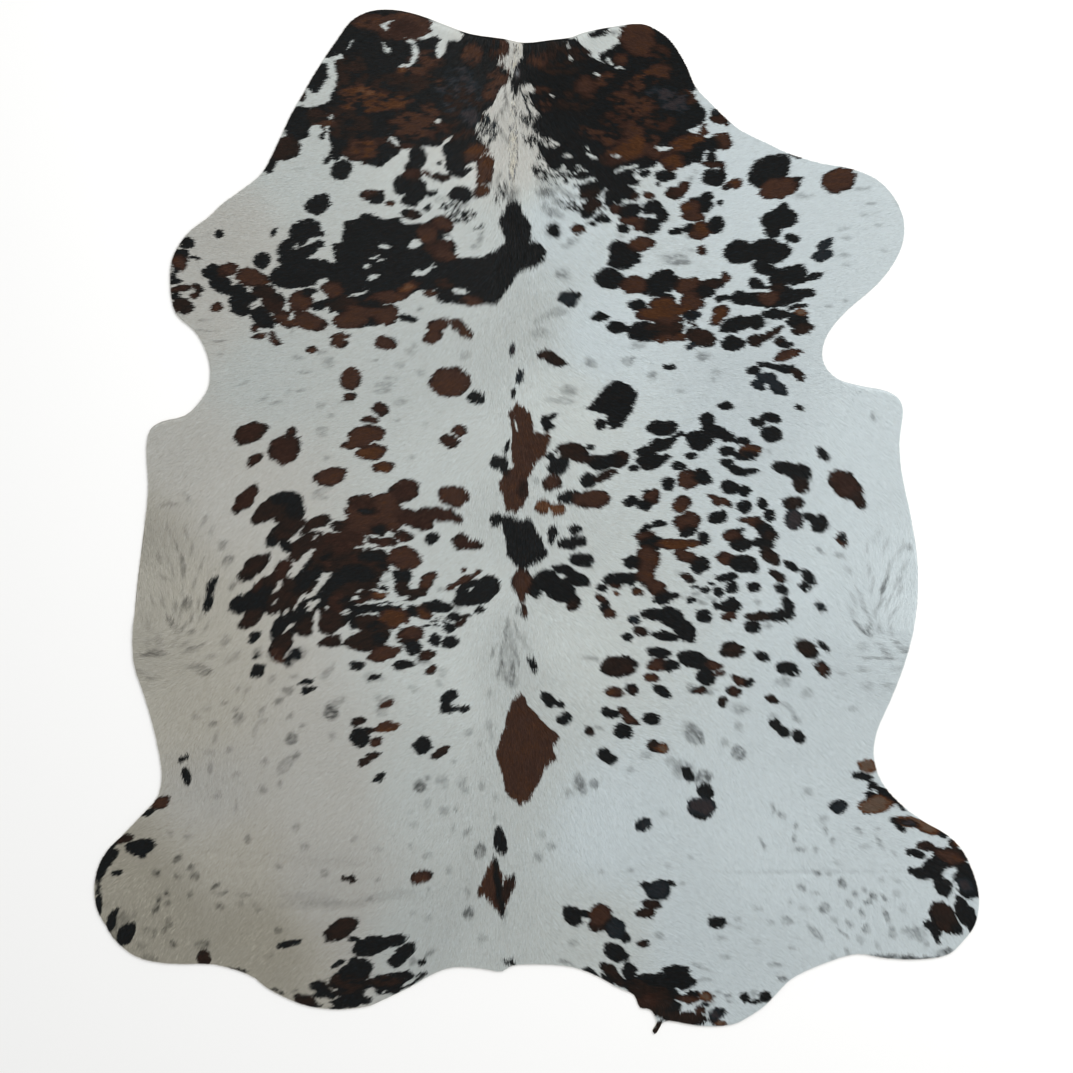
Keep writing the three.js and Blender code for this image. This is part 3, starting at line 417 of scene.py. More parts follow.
    "right side": """
        K 551,457,11,7 557,467,19,17,30 S 568,452,29,17,-5 W 556,453,8,5,45 C 552,483,20,15,10
        K 589,446,11,6,20 S 591,458,23,9 K 600,463,23,13 S 619,459,21,16,15 K 633,468,10,7 588,481,18,14
        587,475,7,6 S 605,475,23,10,20 D 536,482,6,6,40 K 570,497,25,12,5 C 591,499,37,17 R 543,506,17,13
        557,509,17,12 W 552,512,8,4 K 553,532,13,12 551,538,9,9 575,529,13,9 572,542,29,13,12
        581,560,25,15,-5 563,571,23,11,-20 577,579,25,15,-20 548,581,31,23 535,590,13,13 565,594,35,17,-35
        S 573,605,15,11 K 614,580,19,11 C 615,586,11,5 K 629,579,16,12 602,587,10,7,-15 R 637,591,12,9,-20
        U 617,593,7,5 R 601,598,13,7,-25 K 604,606,11,10 C 609,613,15,10,-15 L 634,620,12,8,-10
        S 640,631,17,10,-15 K 627,637,11,7,-10 646,451,21,11 648,462,23,15 660,458,19,7,5 691,456,12,6
        679,466,15,7,-10 C 688,480,23,19 K 702,477,19,16,-15 668,484,14,13,90 631,501,17,10
        C 651,497,19,15,35 K 645,505,17,11,20 647,491,7,4 C 681,504,21,15,30 720,500,26,9,-20
        K 744,506,14,13 717,517,20,14,15 730,487,21,13,-20 744,490,13,11 727,463,17,9,-15 738,470,27,10,-20
        728,451,18,9,-10 738,456,11,6,-25 R 750,450,21,13 K 748,455,19,8 C 687,521,27,19,10
        K 689,531,19,10,15 703,539,14,13,-30 659,524,15,8 645,528,13,6,10 C 645,536,23,11 K 652,543,27,15
        R 678,544,43,12 C 647,560,29,25,90 645,575,21,19 K 632,562,18,14 C 687,557,29,12,-20
        K 699,565,19,17,20 D 679,573,8,4,-10 S 687,578,15,9,-30 C 733,535,21,13,-10 K 740,543,21,15
        741,530,7,6 C 748,519,21,8 726,559,19,12,-10 K 742,563,29,17 728,577,23,10,5 732,588,13,12
        718,592,12,9,-25 704,590,8,6 D 694,587,7,4 K 691,600,8,6 D 703,603,6,4 C 657,588,19,15,-20
        K 663,598,21,14 676,594,8,5 653,614,27,13,-5 672,618,27,21,-30 684,630,29,17,-40 665,636,29,9,-8
        731,605,21,15 717,605,11,6,-15 704,616,16,14 C 728,616,16,9,10 K 751,626,17,11,-20 S 732,650,26,15
        K 561,462,20,16,40 S 574,452,30,18,-8 K 606,461,30,14,5 N 543,507,18,12 558,509,14,12 W 550,512,8,4
        K 556,586,44,26,-35 W 561,576,9,3,-10 K 650,460,30,15 657,445,20,13,10 620,579,34,12 700,440,26,18
        715,432,26,12,-15 712,584,6,4 703,588,6,4 D 694,594,6,4 K 690,602,6,4 D 708,597,5,4 698,601,5,4
        684,597,6,3 722,583,5,3 714,600,4,4 757,602,5,4 699,593,5,4 K 695,587,5,3
        """,
    # In this table the thin D, G and H streaks of the right whorl, about columns 840 to 910 and rows 535 to
    # 690, are partly darker hair and partly painted shade between the whorl's locks.
    "right flank": """
        K 822,454,18,10,-50 D 769,453,6,4,-15 K 752,471,13,7,-10 784,468,27,11,-15 798,473,27,17,-20
        S 800,485,19,15,-50 B 845,485,39,25,-38 S 858,500,19,11,-60 792,502,23,13 K 762,504,11,11
        768,515,13,10,-50 810,516,15,7,-20 819,523,17,17 R 755,523,17,9 K 764,530,27,15,-40 S 770,536,13,11
        K 762,543,25,11,-10 S 770,556,23,13,-35 K 752,566,15,11,-60 791,566,15,8,-35 808,577,21,10,-40
        804,586,13,10,-40 S 778,576,19,10,-40 K 781,590,15,9,-35 754,587,13,11 L 820,607,10,8,-35
        K 788,605,19,9,-60 S 760,616,29,11 K 781,615,27,13,10 754,627,13,10 D 767,626,7,5
        S 806,648,27,15,-35 K 822,645,16,7,-40 762,656,14,9,-25 C 842,539,15,9,-60 P 843,537,10,6,-60
        G 840,555,12,6,-40 820,550,10,5,-40 D 861,600,28,4,-72 868,625,20,4,86 H 868,628,12,3,86
        D 877,628,10,4,70 858,626,22,4,-50 H 862,630,12,3,-50 D 884,584,20,4,66 H 882,588,10,3,66
        G 897,580,16,4,58 D 880,602,12,4,60 G 872,585,14,3,80 900,590,12,4,55 891,630,12,3,80
        D 883,651,18,4,-42 898,645,14,4,-50 905,650,10,5,20 878,657,38,3,-4 G 861,646,9,9 876,536,12,3,70
        867,547,14,3,80 891,559,14,3,60 885,545,12,3,70 900,548,10,4,50 D 908,547,8,5 G 862,669,10,6
        865,685,9,7 888,685,10,6 841,672,7,6 896,668,8,4 852,598,12,3,-70 850,610,10,3,-60 893,612,14,4,60
        888,600,16,3,65 874,612,10,3,80 904,565,12,4,60 869,570,14,3,85 887,572,12,3,65 848,570,10,5,-40
        838,555,8,5,-40 820,550,8,4,-40 P 793,519,21,19,90
        """,
    "right loin": """
        D 587,658,7,4 594,659,6,4 S 618,666,37,20,5 K 659,653,24,12,-5 C 657,665,21,12 K 671,665,17,12
        R 651,677,15,9,-5 K 662,691,22,10,-25 R 614,692,18,10,-5 P 632,689,14,11,-10 K 610,713,18,9,-20
        C 624,712,16,9,-40 630,720,17,9,-15 K 652,718,19,12,-5 623,731,21,15,-20 S 589,731,14,8,-35
        D 599,728,9,4 K 562,720,12,8,-25 567,717,9,7,-35 548,699,20,12,-50 559,704,9,6,-15 607,757,21,13,-25
        S 653,746,15,11,-40 U 663,748,11,10 G 646,755,12,8 689,730,18,16,90 D 700,737,13,6,-65
        G 670,761,10,8 683,768,16,14 K 687,774,16,11,-70 H 702,777,18,14 K 705,791,17,15,-30 701,808,24,22
        G 663,812,8,7 L 643,824,16,14 G 579,783,20,12,-75 594,783,9,8 569,793,10,8 630,769,8,6 541,834,8,8
        D 551,846,8,7 538,857,9,8 G 630,870,8,5 602,872,5,4 691,858,4,4 667,865,5,4 739,726,10,8,-70
        724,742,8,8 H 738,752,16,12,-45 G 739,708,18,12 D 741,709,12,4 S 722,701,10,9,80 P 733,691,15,10,5
        C 740,680,17,9,-30 K 749,682,10,10 692,659,33,17,-20 706,676,21,19,-60 C 714,665,20,9,-5
        719,673,12,5 P 700,690,16,7 D 690,686,6,5 711,694,5,4 K 787,669,24,14,-20 P 821,668,16,12,-40
        G 783,682,16,10 D 783,682,8,5,-30 G 807,693,10,10 852,708,8,6,30 S 772,698,15,8,-30
        K 775,724,13,10,-45 783,731,15,10,-40 G 773,716,10,8 D 797,718,12,6,-50 K 798,736,16,11,-40
        G 788,707,16,5,-40 C 822,669,14,10,-40 734,691,14,9,5 S 632,689,14,11,-10 D 702,690,27,7
        C 700,690,13,6 K 705,791,15,14 D 693,733,17,19 699,740,11,8 581,783,21,11,-75 594,783,9,8
        G 683,770,22,20 P 701,806,18,30,88
        """,
    "right hind leg": """
        U 868,765,18,12 D 860,773,10,6 867,776,8,6 C 876,803,35,19,10 K 869,794,9,9 887,796,23,9,-30
        868,810,15,7 900,805,10,4,-45 838,806,15,13,90 S 908,822,27,11,-10 R 925,826,25,13,-25
        K 940,833,17,6,-25 899,826,17,7,-40 S 953,845,13,8,-60 U 957,842,11,5,-45 S 925,845,17,9,-5
        935,848,11,7,-40 K 915,853,20,8,-8 S 950,857,35,19 K 933,867,33,19,30 919,873,23,10,-20
        W 955,872,16,8,20 K 941,885,27,15,-60 948,881,11,6,-45 966,884,31,21,-60 963,905,23,10,-50
        972,918,23,11,-75 S 944,918,37,23,-45 K 935,932,25,9,-65 928,924,9,8 956,928,13,13 W 943,937,10,6,70
        D 943,953,15,6 925,958,31,4 900,957,31,4 870,955,17,4 G 915,930,14,6,-70 926,945,6,5 U 868,765,20,13
        K 858,774,14,7 867,777,12,7 873,785,10,9 U 876,804,28,17,8 K 888,794,26,7,-35 U 866,807,16,10
        908,822,30,11,-8 928,828,22,12,-20 K 898,826,16,5,-40 893,820,8,6 H 880,956,60,5 925,958,50,5
        947,952,16,6 K 966,872,24,18,-50 W 950,874,16,5,35 957,885,8,4,-60 K 948,881,10,5,-45
        962,912,30,12,-60 972,922,22,12,-72 D 772,809,10,4,85 781,815,9,7,-30 795,825,6,4,60 793,838,8,4,85
        762,843,12,4,-70 799,849,10,5 G 823,819,9,8 D 825,829,8,4,80 833,841,7,4,80 858,831,8,6,-50
        876,829,6,4 879,842,16,3,-55 894,854,6,3,-50 G 866,847,9,5 H 816,873,7,5,-30 D 828,874,5,4
        H 842,882,9,7,-50 D 801,886,9,5,-25 G 815,893,8,4 D 854,893,6,4,-60 864,889,5,4,-60
        H 872,896,7,6,-60 868,902,5,4 884,898,8,5,-70 G 897,893,8,6,-60 897,880,8,4,-20 H 825,908,11,9,-30
        G 804,909,10,4 D 848,904,8,5,-60 H 860,912,7,5,-60 886,914,12,5,-70 G 902,909,8,5,-60
        D 849,924,8,5,-40 866,928,8,5,-60 787,920,9,7 G 770,922,7,6 D 814,931,20,5,-50 843,933,15,4,-35
        892,931,14,8,-75 847,952,8,5,-30 G 833,957,9,5,-30 D 775,965,11,4 H 781,978,8,6,-20 G 757,942,6,5
        815,850,6,5 808,792,8,7 789,902,6,5 757,908,9,5 836,862,7,4 905,930,8,12,80 880,880,7,5
        835,920,7,5,-40 877,945,8,5,-50 792,948,7,4 860,940,9,5,-50 918,934,18,16 C 950,856,30,12,-20
        P 964,884,18,12,-55 908,823,22,7,-10 L 838,806,16,15
        """,
    "right rump": """
        K 655,982,68,18,2 678,977,24,20 765,996,13,11 755,1000,15,5,10 D 754,992,6,5 K 646,886,15,7,-20
        670,882,13,7 G 682,882,4,4 S 650,904,19,9,-15 645,913,21,11 D 658,935,10,6,-20 S 643,942,14,9,-5
        K 717,921,18,13 D 728,924,8,4,-15 G 738,919,7,5 739,928,8,4 720,937,9,4 K 572,915,23,17,-40
        585,914,17,7,-10 S 600,913,21,19 598,924,19,15 K 624,938,13,9,-40 G 573,942,9,9 K 616,953,27,16,-20
        611,947,13,9 S 612,973,29,13,-45 K 629,970,15,15 W 619,971,16,2,-50 K 676,970,27,10 685,982,19,13
        665,995,31,15 671,1006,19,15 W 659,1005,7,5 667,1013,22,4,-10 K 660,1012,19,6 S 657,1028,15,9,60
        K 592,972,19,5,-28 S 690,1017,31,12,-8 K 697,1021,13,7 C 688,998,23,9,-5 K 692,993,13,6
        U 706,996,16,9 C 700,1009,10,9 D 705,1016,4,4 711,1002,7,3 719,992,6,3 728,995,7,3 K 744,997,9,9
        D 731,1000,5,3 P 716,1013,15,13 K 722,1011,7,6 712,1019,8,5 U 719,1023,14,5 D 696,964,9,4
        G 705,968,14,3,-20 705,980,16,4 725,957,10,5 D 567,962,14,3,-15 S 652,999,40,26 640,990,30,18,-30
        680,1017,46,12,-5 C 600,915,22,22,-30 K 607,980,14,8,-50 P 705,1003,10,4 S 661,1012,20,6,-20
        B 648,1001,24,16 K 676,972,22,9 L 658,890,25,21 615,928,21,21 F 808,871,200,3
        """,
}

# The white coat from place to place: its tone, and how bright it is beside that tone. Both are partly the
# coat's own colour and partly painted light and shade: lighter and cooler toward the upper right, the side
# the light comes from, darker and yellower toward the lower left, and darker at some places by the rim for
# the shade there.
COAT_AND_PAINTED_LIGHT = [
    # place, column, row, tone, brightness
    ("left neck", 400, 60, Tone.WHITE, 0.92),
    ("right neck", 600, 60, Tone.WHITE, 0.96),
    ("nape, top", 515, 60, Tone.BONE, 0.95),
    ("nape", 515, 125, Tone.BONE, 1.00),
    ("nape, low", 515, 172, Tone.BONE, 1.07),
    ("left collar", 300, 180, Tone.WHITE, 0.83),
    ("left collar, inner", 470, 225, Tone.WHITE, 0.85),
    ("right collar", 750, 150, Tone.COOL_WHITE, 0.84),
    ("right collar, inner", 550, 215, Tone.COOL_WHITE, 0.89),
    ("right foreleg", 860, 215, Tone.COOL_WHITE, 0.82),
    ("left foreleg", 235, 235, Tone.BONE, 0.88),
    ("left armpit, rim", 205, 320, Tone.BONE, 0.88),
    ("left armpit", 260, 370, Tone.WHITE, 0.79),
    ("withers", 520, 330, Tone.WHITE, 0.82),
    ("left shoulder", 430, 360, Tone.WHITE, 0.80),
    ("left ribs, inner", 460, 470, Tone.WHITE, 0.86),
    ("right shoulder", 600, 340, Tone.COOL_WHITE, 0.90),
    ("right ribs, inner", 562, 405, Tone.WHITE, 1.02),
    ("right armpit", 760, 390, Tone.COOL_WHITE, 0.82),
    ("right upper flank", 870, 440, Tone.COOL_WHITE, 0.91),
    ("left upper flank", 180, 460, Tone.BONE, 0.86),
    ("left flank", 230, 500, Tone.BONE, 0.92),
    ("left rim", 150, 530, Tone.STRAW_GREY, 0.90),
    ("left whorl", 170, 595, Tone.STRAW_GREY, 1.12),
    ("left belly rim", 142, 645, Tone.STRAW_GREY, 0.98),
    ("right whorl", 885, 600, Tone.COOL_WHITE, 0.94),
    ("back", 515, 660, Tone.WHITE, 0.83),
    ("left back, inner", 450, 600, Tone.WHITE, 0.87),
    ("right back, inner", 560, 645, Tone.WHITE, 1.03),
    ("left back, low inner", 470, 650, Tone.WHITE, 0.93),
    ("left loin", 190, 710, Tone.STRAW_GREY, 0.98),
    ("left stifle", 215, 800, Tone.BONE, 0.79),
    ("left back", 320, 800, Tone.BONE, 0.84),
    ("left back, low", 430, 800, Tone.WHITE, 0.80),
    ("back, low", 490, 780, Tone.WHITE, 0.85),
    ("right loin", 850, 710, Tone.COOL_WHITE, 0.87),
    ("right back", 620, 830, Tone.COOL_WHITE, 0.89),
    ("left thigh", 235, 855, Tone.STRAW_GREY, 0.93),
    ("left hind leg", 120, 880, Tone.OLIVE_GREY, 0.94),
    ("left hock", 160, 925, Tone.OLIVE_GREY, 0.90),
    ("left rump", 260, 940, Tone.OLIVE_GREY, 0.92),
    ("left rump, inner", 320, 890, Tone.BONE, 0.76),
    ("left croup", 430, 930, Tone.WHITE, 0.73),
    ("croup", 500, 955, Tone.WHITE, 0.84),
    ("right croup", 600, 945, Tone.WHITE, 0.90),
    ("right rump", 780, 860, Tone.COOL_WHITE, 0.91),
    ("right rump, low", 700, 940, Tone.COOL_WHITE, 0.86),
    ("right hind leg", 880, 900, Tone.COOL_WHITE, 0.89),
    ("rump lobe", 740, 990, Tone.COOL_WHITE, 0.86),
]

# How the hair lies: the way it points, in degrees anticlockwise from the right, and its length.
LIE = [
    # place, column, row, heading, millimetres long
    ("left neck, outer", 350, 60, 188, 13),
    ("left neck", 420, 95, 192, 13),
    ("left neck, inner", 480, 80, 215, 15),
    ("nape, top", 515, 50, -90, 20),
    ("nape", 513, 120, -90, 26),
    ("nape, low", 516, 180, -88, 24),
    ("right neck, inner", 550, 90, -40, 15),
    ("right collar, inner", 562, 165, -50, 16),
    ("left collar, inner", 462, 170, 225, 16),
    ("right neck", 620, 95, -14, 13),
    ("right neck, outer", 690, 120, -10, 13),
    ("left collar", 300, 190, 195, 14),
    ("right collar", 750, 165, 12, 14),
    ("left foreleg", 200, 260, 186, 14),
    ("right foreleg", 860, 215, 14, 14),
    ("left shoulder, outer", 260, 300, 194, 15),
    ("left shoulder", 390, 260, 197, 15),
    ("left shoulder, inner", 470, 260, 212, 17),
    ("withers", 517, 260, -92, 22),
    ("right shoulder, inner", 565, 250, -35, 15),
    ("right shoulder", 650, 290, -8, 15),
    ("right shoulder, outer", 770, 260, 8, 15),
    ("left armpit", 250, 380, 196, 15),
    ("left ribs, upper", 370, 420, 198, 15),
    ("left ribs, inner", 460, 420, 212, 15),
    ("back, upper", 515, 390, -90, 19),
    ("right ribs, inner", 560, 400, -32, 15),
    ("right ribs, upper", 650, 420, -8, 15),
    ("right armpit", 780, 380, -15, 15),
    ("right upper flank", 860, 440, -45, 17),
    ("left upper flank", 190, 450, 222, 17),
    ("left flank", 255, 520, 226, 17),
    ("left flank, low", 270, 620, 224, 17),
    ("left ribs", 360, 560, 198, 15),
    ("left ribs, low", 420, 630, 198, 15),
    ("left back, inner", 475, 580, 212, 15),
    ("back, middle", 515, 530, -90, 19),
    ("right back, inner", 560, 590, -35, 15),
    ("right ribs", 660, 520, -6, 15),
    ("right ribs, low", 670, 620, -28, 15),
    ("right ribs, outer", 740, 540, -18, 15),
    ("right flank", 790, 560, -36, 17),
    ("right flank, outer", 845, 500, -44, 18),
    ("left whorl, outer", 160, 590, -72, 27),
    ("left whorl, rim", 140, 570, -85, 22),
    ("left whorl, inner", 196, 590, 252, 25),
    ("left whorl, foot", 175, 650, 200, 27),
    ("left whorl, tail", 150, 658, 172, 24),
    ("right whorl, inner", 852, 605, -46, 26),
    ("right whorl, outer", 893, 595, -114, 27),
    ("right whorl, rim", 911, 570, -95, 22),
    ("right whorl, foot", 882, 654, -8, 27),
    ("back, low", 512, 640, -90, 20),
    ("left loin, outer", 180, 710, 236, 17),
    ("left loin", 250, 710, 234, 16),
    ("left loin, inner", 340, 720, 208, 15),
    ("left back", 430, 720, 208, 15),
    ("left waist", 195, 770, 258, 16),
    ("diamond", 525, 750, -88, 18),
    ("right back", 560, 710, -42, 15),
    ("right loin, inner", 640, 730, -22, 15),
    ("right loin", 700, 770, -62, 15),
    ("right loin, outer", 790, 720, -42, 16),
    ("right waist", 855, 740, -48, 16),
    ("left thigh", 160, 820, 208, 15),
    ("left hock", 110, 860, 212, 14),
    ("left hind leg", 125, 915, 246, 14),
    ("left rump", 200, 890, 240, 15),
    ("left rump, inner", 300, 850, 228, 15),
    ("left croup", 420, 860, 240, 15),
    ("croup", 498, 870, -90, 20),
    ("right croup", 580, 820, -72, 15),
    ("right rump, inner", 660, 880, -30, 15),
    ("right rump", 770, 860, -58, 15),
    ("right thigh", 880, 810, -20, 15),
    ("right hock", 940, 850, -24, 14),
    ("right hind leg", 945, 910, -56, 14),
    ("right hind leg, inner", 870, 910, -64, 15),
    ("left lobe", 370, 960, 202, 14),
    ("left lobe, outer", 300, 970, 222, 14),
    ("tail root, left", 460, 940, 250, 16),
    ("tail root", 500, 945, -90, 20),
    ("right lobe, inner", 590, 930, -34, 14),
    ("right lobe", 660, 985, -10, 14),
    ("right lobe, outer", 740, 970, -34, 14),
    ("tail tag", 657, 1022, 240, 14),
]


@dataclass(frozen=True)
class Breakup:
    """How noise breaks up a mark.

    Attributes:
        gain: How strongly the noise counts.
        base: The share of the mark that stays where the noise is 0.
        low: The least share.
        high: The greatest share.
    """

    gain: float
    base: float
    low: float = 0.0
    high: float = 1.0

    def share(self, noise: np.ndarray) -> np.ndarray:
        """The share of the mark that stays at each entry."""
        return np.clip(noise * self.gain + self.base, self.low, self.high)


VEIL_FLECKS = Breakup(0.8, 1.0, 0.3, 1.5)
BRINDLE_BREAKS = Breakup(1.4, 0.8)
ROAN_FLECKS = Breakup(2.5, 0.3)


def linear(hex_value: str) -> tuple[float, float, float]:
    """Turns an sRGB hex value to a linear colour.

    Args:
        hex_value: Six hex digits.

    Returns:
        Red, green and blue from 0 to 1.
    """
    parts = [int(hex_value[i : i + 2], 16) / 255 for i in (0, 2, 4)]
    return tuple(p / 12.92 if p <= 0.04045 else ((p + 0.055) / 1.055) ** 2.4 for p in parts)


def add_node(
    material: bpy.types.Material, kind: str, inputs: dict[str, object] | None = None, **settings: object
) -> bpy.types.Node:
    """Adds one node with its settings, its input values and its links.

    Args:
        material: The material whose node tree gets the node.
        kind: The node's type.
        inputs: Values for input sockets by name. An output socket is linked.
        settings: The node's own properties.

    Returns:
        The new node.
    """
    tree = material.node_tree
    node = tree.nodes.new(kind)
    for name, value in settings.items():
        setattr(node, name, value)
    for name, value in (inputs or {}).items():
        if isinstance(value, bpy.types.NodeSocket):
            tree.links.new(value, node.inputs[name])
        else:
            node.inputs[name].default_value = value
    return node


def new_material(name: str) -> bpy.types.Material:
    """Makes a material with an empty node tree.

    Args:
        name: The real finish that it is named for.

    Returns:
        The material.
    """
    material = bpy.data.materials.new(name)
    material.use_nodes = True
    material.node_tree.nodes.clear()
    return material


def add_surface(
    material: bpy.types.Material, roughness: float, specular: float, inputs: dict[str, object]
) -> None:
    """Ends a material's node tree with its shader and its output.

    Args:
        material: The material.
        roughness: From 0 for a mirror to 1 for chalk.
        specular: How strong the reflections are.
        inputs: The shader's other inputs by name.
    """
    values = {"Roughness": roughness, "Specular IOR Level": specular, **inputs}
    shader = add_node(material, "ShaderNodeBsdfPrincipled", values)
    add_node(material, "ShaderNodeOutputMaterial", {"Surface": shader.outputs["BSDF"]})


def to_chart(points: np.ndarray) -> tuple[np.ndarray, np.ndarray]:
    """Turns points of the hide, in metres, to columns and rows of the chart."""
    return MIDDLE_COLUMN + points[:, 0] / SQUARE, MIDDLE_ROW - points[:, 1] / SQUARE


def smooth_noise(
    shape: tuple[int, int], cell: tuple[float, float], rng: np.random.Generator
) -> np.ndarray:
    """Makes soft noise by easing between random values.

    Args:
        shape: Rows and columns of the result.
        cell: How many rows and columns apart the random values lie.
        rng: The random source.

    Returns:
        Values of about -1 to 1.
    """
    rows, columns = (int(n / c) + 3 for n, c in zip(shape, cell))
    knots = rng.uniform(-1, 1, (rows, columns)).astype(np.float32)
    down, across = (np.arange(n, dtype=np.float32) / c for n, c in zip(shape, cell))
    i, j = down.astype(int), across.astype(int)
    fi, fj = ((f * f * (3 - 2 * f)) for f in (down - i, across - j))
    upper = knots[i][:, j] * (1 - fj) + knots[i][:, j + 1] * fj
    lower = knots[i + 1][:, j] * (1 - fj) + knots[i + 1][:, j + 1] * fj
    return upper * (1 - fi)[:, None] + lower * fi[:, None]


def blend_by_nearness(
    x: np.ndarray, y: np.ndarray, places: np.ndarray, values: np.ndarray, reach: float
) -> np.ndarray:
    """Blends values that are given at a few places, the nearest counting most.

    Args:
        x: Columns of the points.
        y: Rows of the points.
        places: Column and row of each place.
        values: A row of numbers for each place.
        reach: How near, in squares, a place takes over.

    Returns:
        A row of blended numbers for each point.
    """
    total = np.zeros((len(x), values.shape[1]), np.float32)
    weight_sum = np.zeros(len(x), np.float32)
    for (column, row), value in zip(places, values):
        weight = ((x - column) ** 2 + (y - row) ** 2 + reach**2) ** -2.0
        total += weight[:, None] * value
        weight_sum += weight
    return total / weight_sum[:, None]


def inside_loop(corners: np.ndarray, x: np.ndarray, y: np.ndarray) -> np.ndarray:
    """Tells which points lie inside a closed loop.

    Args:
        corners: The loop's corners, a row of x and y for each.
        x: The points' x.
        y: The points' y.

    Returns:
        True for each point inside.
    """
    inside = np.zeros(x.shape, bool)
    for (ax, ay), (bx, by) in zip(corners, np.roll(corners, -1, 0)):
        if ay != by:
            inside ^= ((ay > y) != (by > y)) & (x < (bx - ax) * (y - ay) / (by - ay) + ax)
    return inside


@dataclass
class Outline:
    """The hide's rim as a closed loop, and how far points lie inside it.

    Attributes:
        corners: The loop's corners in metres, anticlockwise from above.
        grain: Spacing of the table of distances, in metres.
        margin: How far the table reaches past the rim, in metres.
        low: The table's lower left corner.
        table: The distances.
    """

    corners: np.ndarray
    grain: float = 6 * MM
    margin: float = 30 * MM
    low: np.ndarray = field(init=False)
    table: np.ndarray = field(init=False)

    @classmethod
    def of_node(cls, name: str) -> "Outline":
        """Reads the rim of the flat underside of a CAD node.

        Args:
            name: The node's name.

        Returns:
            The outline.
        """
        bm = bmesh.new()
        bm.from_mesh(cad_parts[name].data)
        bmesh.ops.remove_doubles(bm, verts=bm.verts, dist=WELD)
        above = [f for f in bm.faces if max(v.co.z for v in f.verts) > SLIVER]
        bmesh.ops.delete(bm, geom=above, context="FACES")
        underside = bmesh.ops.dissolve_faces(bm, faces=bm.faces[:])["region"][0]
        corners = np.array([v.co.xy for v in underside.verts], float)
        bm.free()
        return cls(corners)

    def __post_init__(self) -> None:
        """Turns the loop anticlockwise and tabulates the distance to it."""
        if self.signed_area() < 0:
            self.corners = self.corners[::-1]
        self.low = self.corners.min(0) - self.margin
        counts = np.ceil((self.corners.max(0) + self.margin - self.low) / self.grain).astype(int) + 1
        across, up = (self.low[i] + np.arange(counts[i]) * self.grain for i in (0, 1))
        x, y = np.meshgrid(across, up)
        distance = self._exact(np.column_stack([x.ravel(), y.ravel()]))
        self.table = distance.reshape(x.shape)

    def signed_area(self) -> float:
        """The area inside the loop in square metres, negative where the loop runs clockwise."""
        x, y = self.corners.T
        return (x * np.roll(y, -1) - np.roll(x, -1) * y).sum() / 2

    def _exact(self, points: np.ndarray) -> np.ndarray:
        """Works out how far inside the rim each point lies.

        Args:
            points: One row of x and y for each point, in metres.

        Returns:
            Metres, negative outside.
        """
        nearest = np.full(len(points), np.inf)
        x, y = points.T
        for (ax, ay), (bx, by) in zip(self.corners, np.roll(self.corners, -1, 0)):
            run = (bx - ax) ** 2 + (by - ay) ** 2
            along = np.clip(((x - ax) * (bx - ax) + (y - ay) * (by - ay)) / run, 0, 1)
            gap = (x - ax - along * (bx - ax)) ** 2 + (y - ay - along * (by - ay)) ** 2
            nearest = np.minimum(nearest, gap)
        return np.where(inside_loop(self.corners, x, y), 1, -1) * np.sqrt(nearest)

    def depth(self, points: np.ndarray) -> np.ndarray:
        """How far inside the rim each point lies, from the table.

        Args:
            points: One row of x and y for each point, in metres.

        Returns:
            Metres, negative outside.
        """
        at = (points - self.low) / self.grain
        rows, columns = self.table.shape
        i = np.clip(at[:, 1].astype(int), 0, rows - 2)
        j = np.clip(at[:, 0].astype(int), 0, columns - 2)
        fi, fj = np.clip(at[:, 1] - i, 0, 1), np.clip(at[:, 0] - j, 0, 1)
        t = self.table
        upper = t[i, j] * (1 - fj) + t[i, j + 1] * fj
        lower = t[i + 1, j] * (1 - fj) + t[i + 1, j + 1] * fj
        return upper * (1 - fi) + lower * fi


@dataclass(frozen=True)
class Mark:
    """One oval mark of the coat, in squares of the chart.

    Attributes:
        letter: What the mark is made of.
        column: Its middle.
        row: Its middle.
        long: Its length.
        wide: Its width.
        lean: How far its length leans from level, in degrees, rising to the right.
    """

    letter: str
    column: float
    row: float
    long: float
    wide: float
    lean: float = 0.0

    @classmethod
    def read(cls, text: str) -> Iterator["Mark"]:
        """Reads marks from a table's text.

        Args:
            text: Letters, each with its marks' numbers after it.

        Yields:
            The marks in order.
        """
        letter = ""
        for token in text.split():
            if token.isalpha():
                letter = token
            else:
                yield cls(letter, *(float(n) for n in token.split(",")))


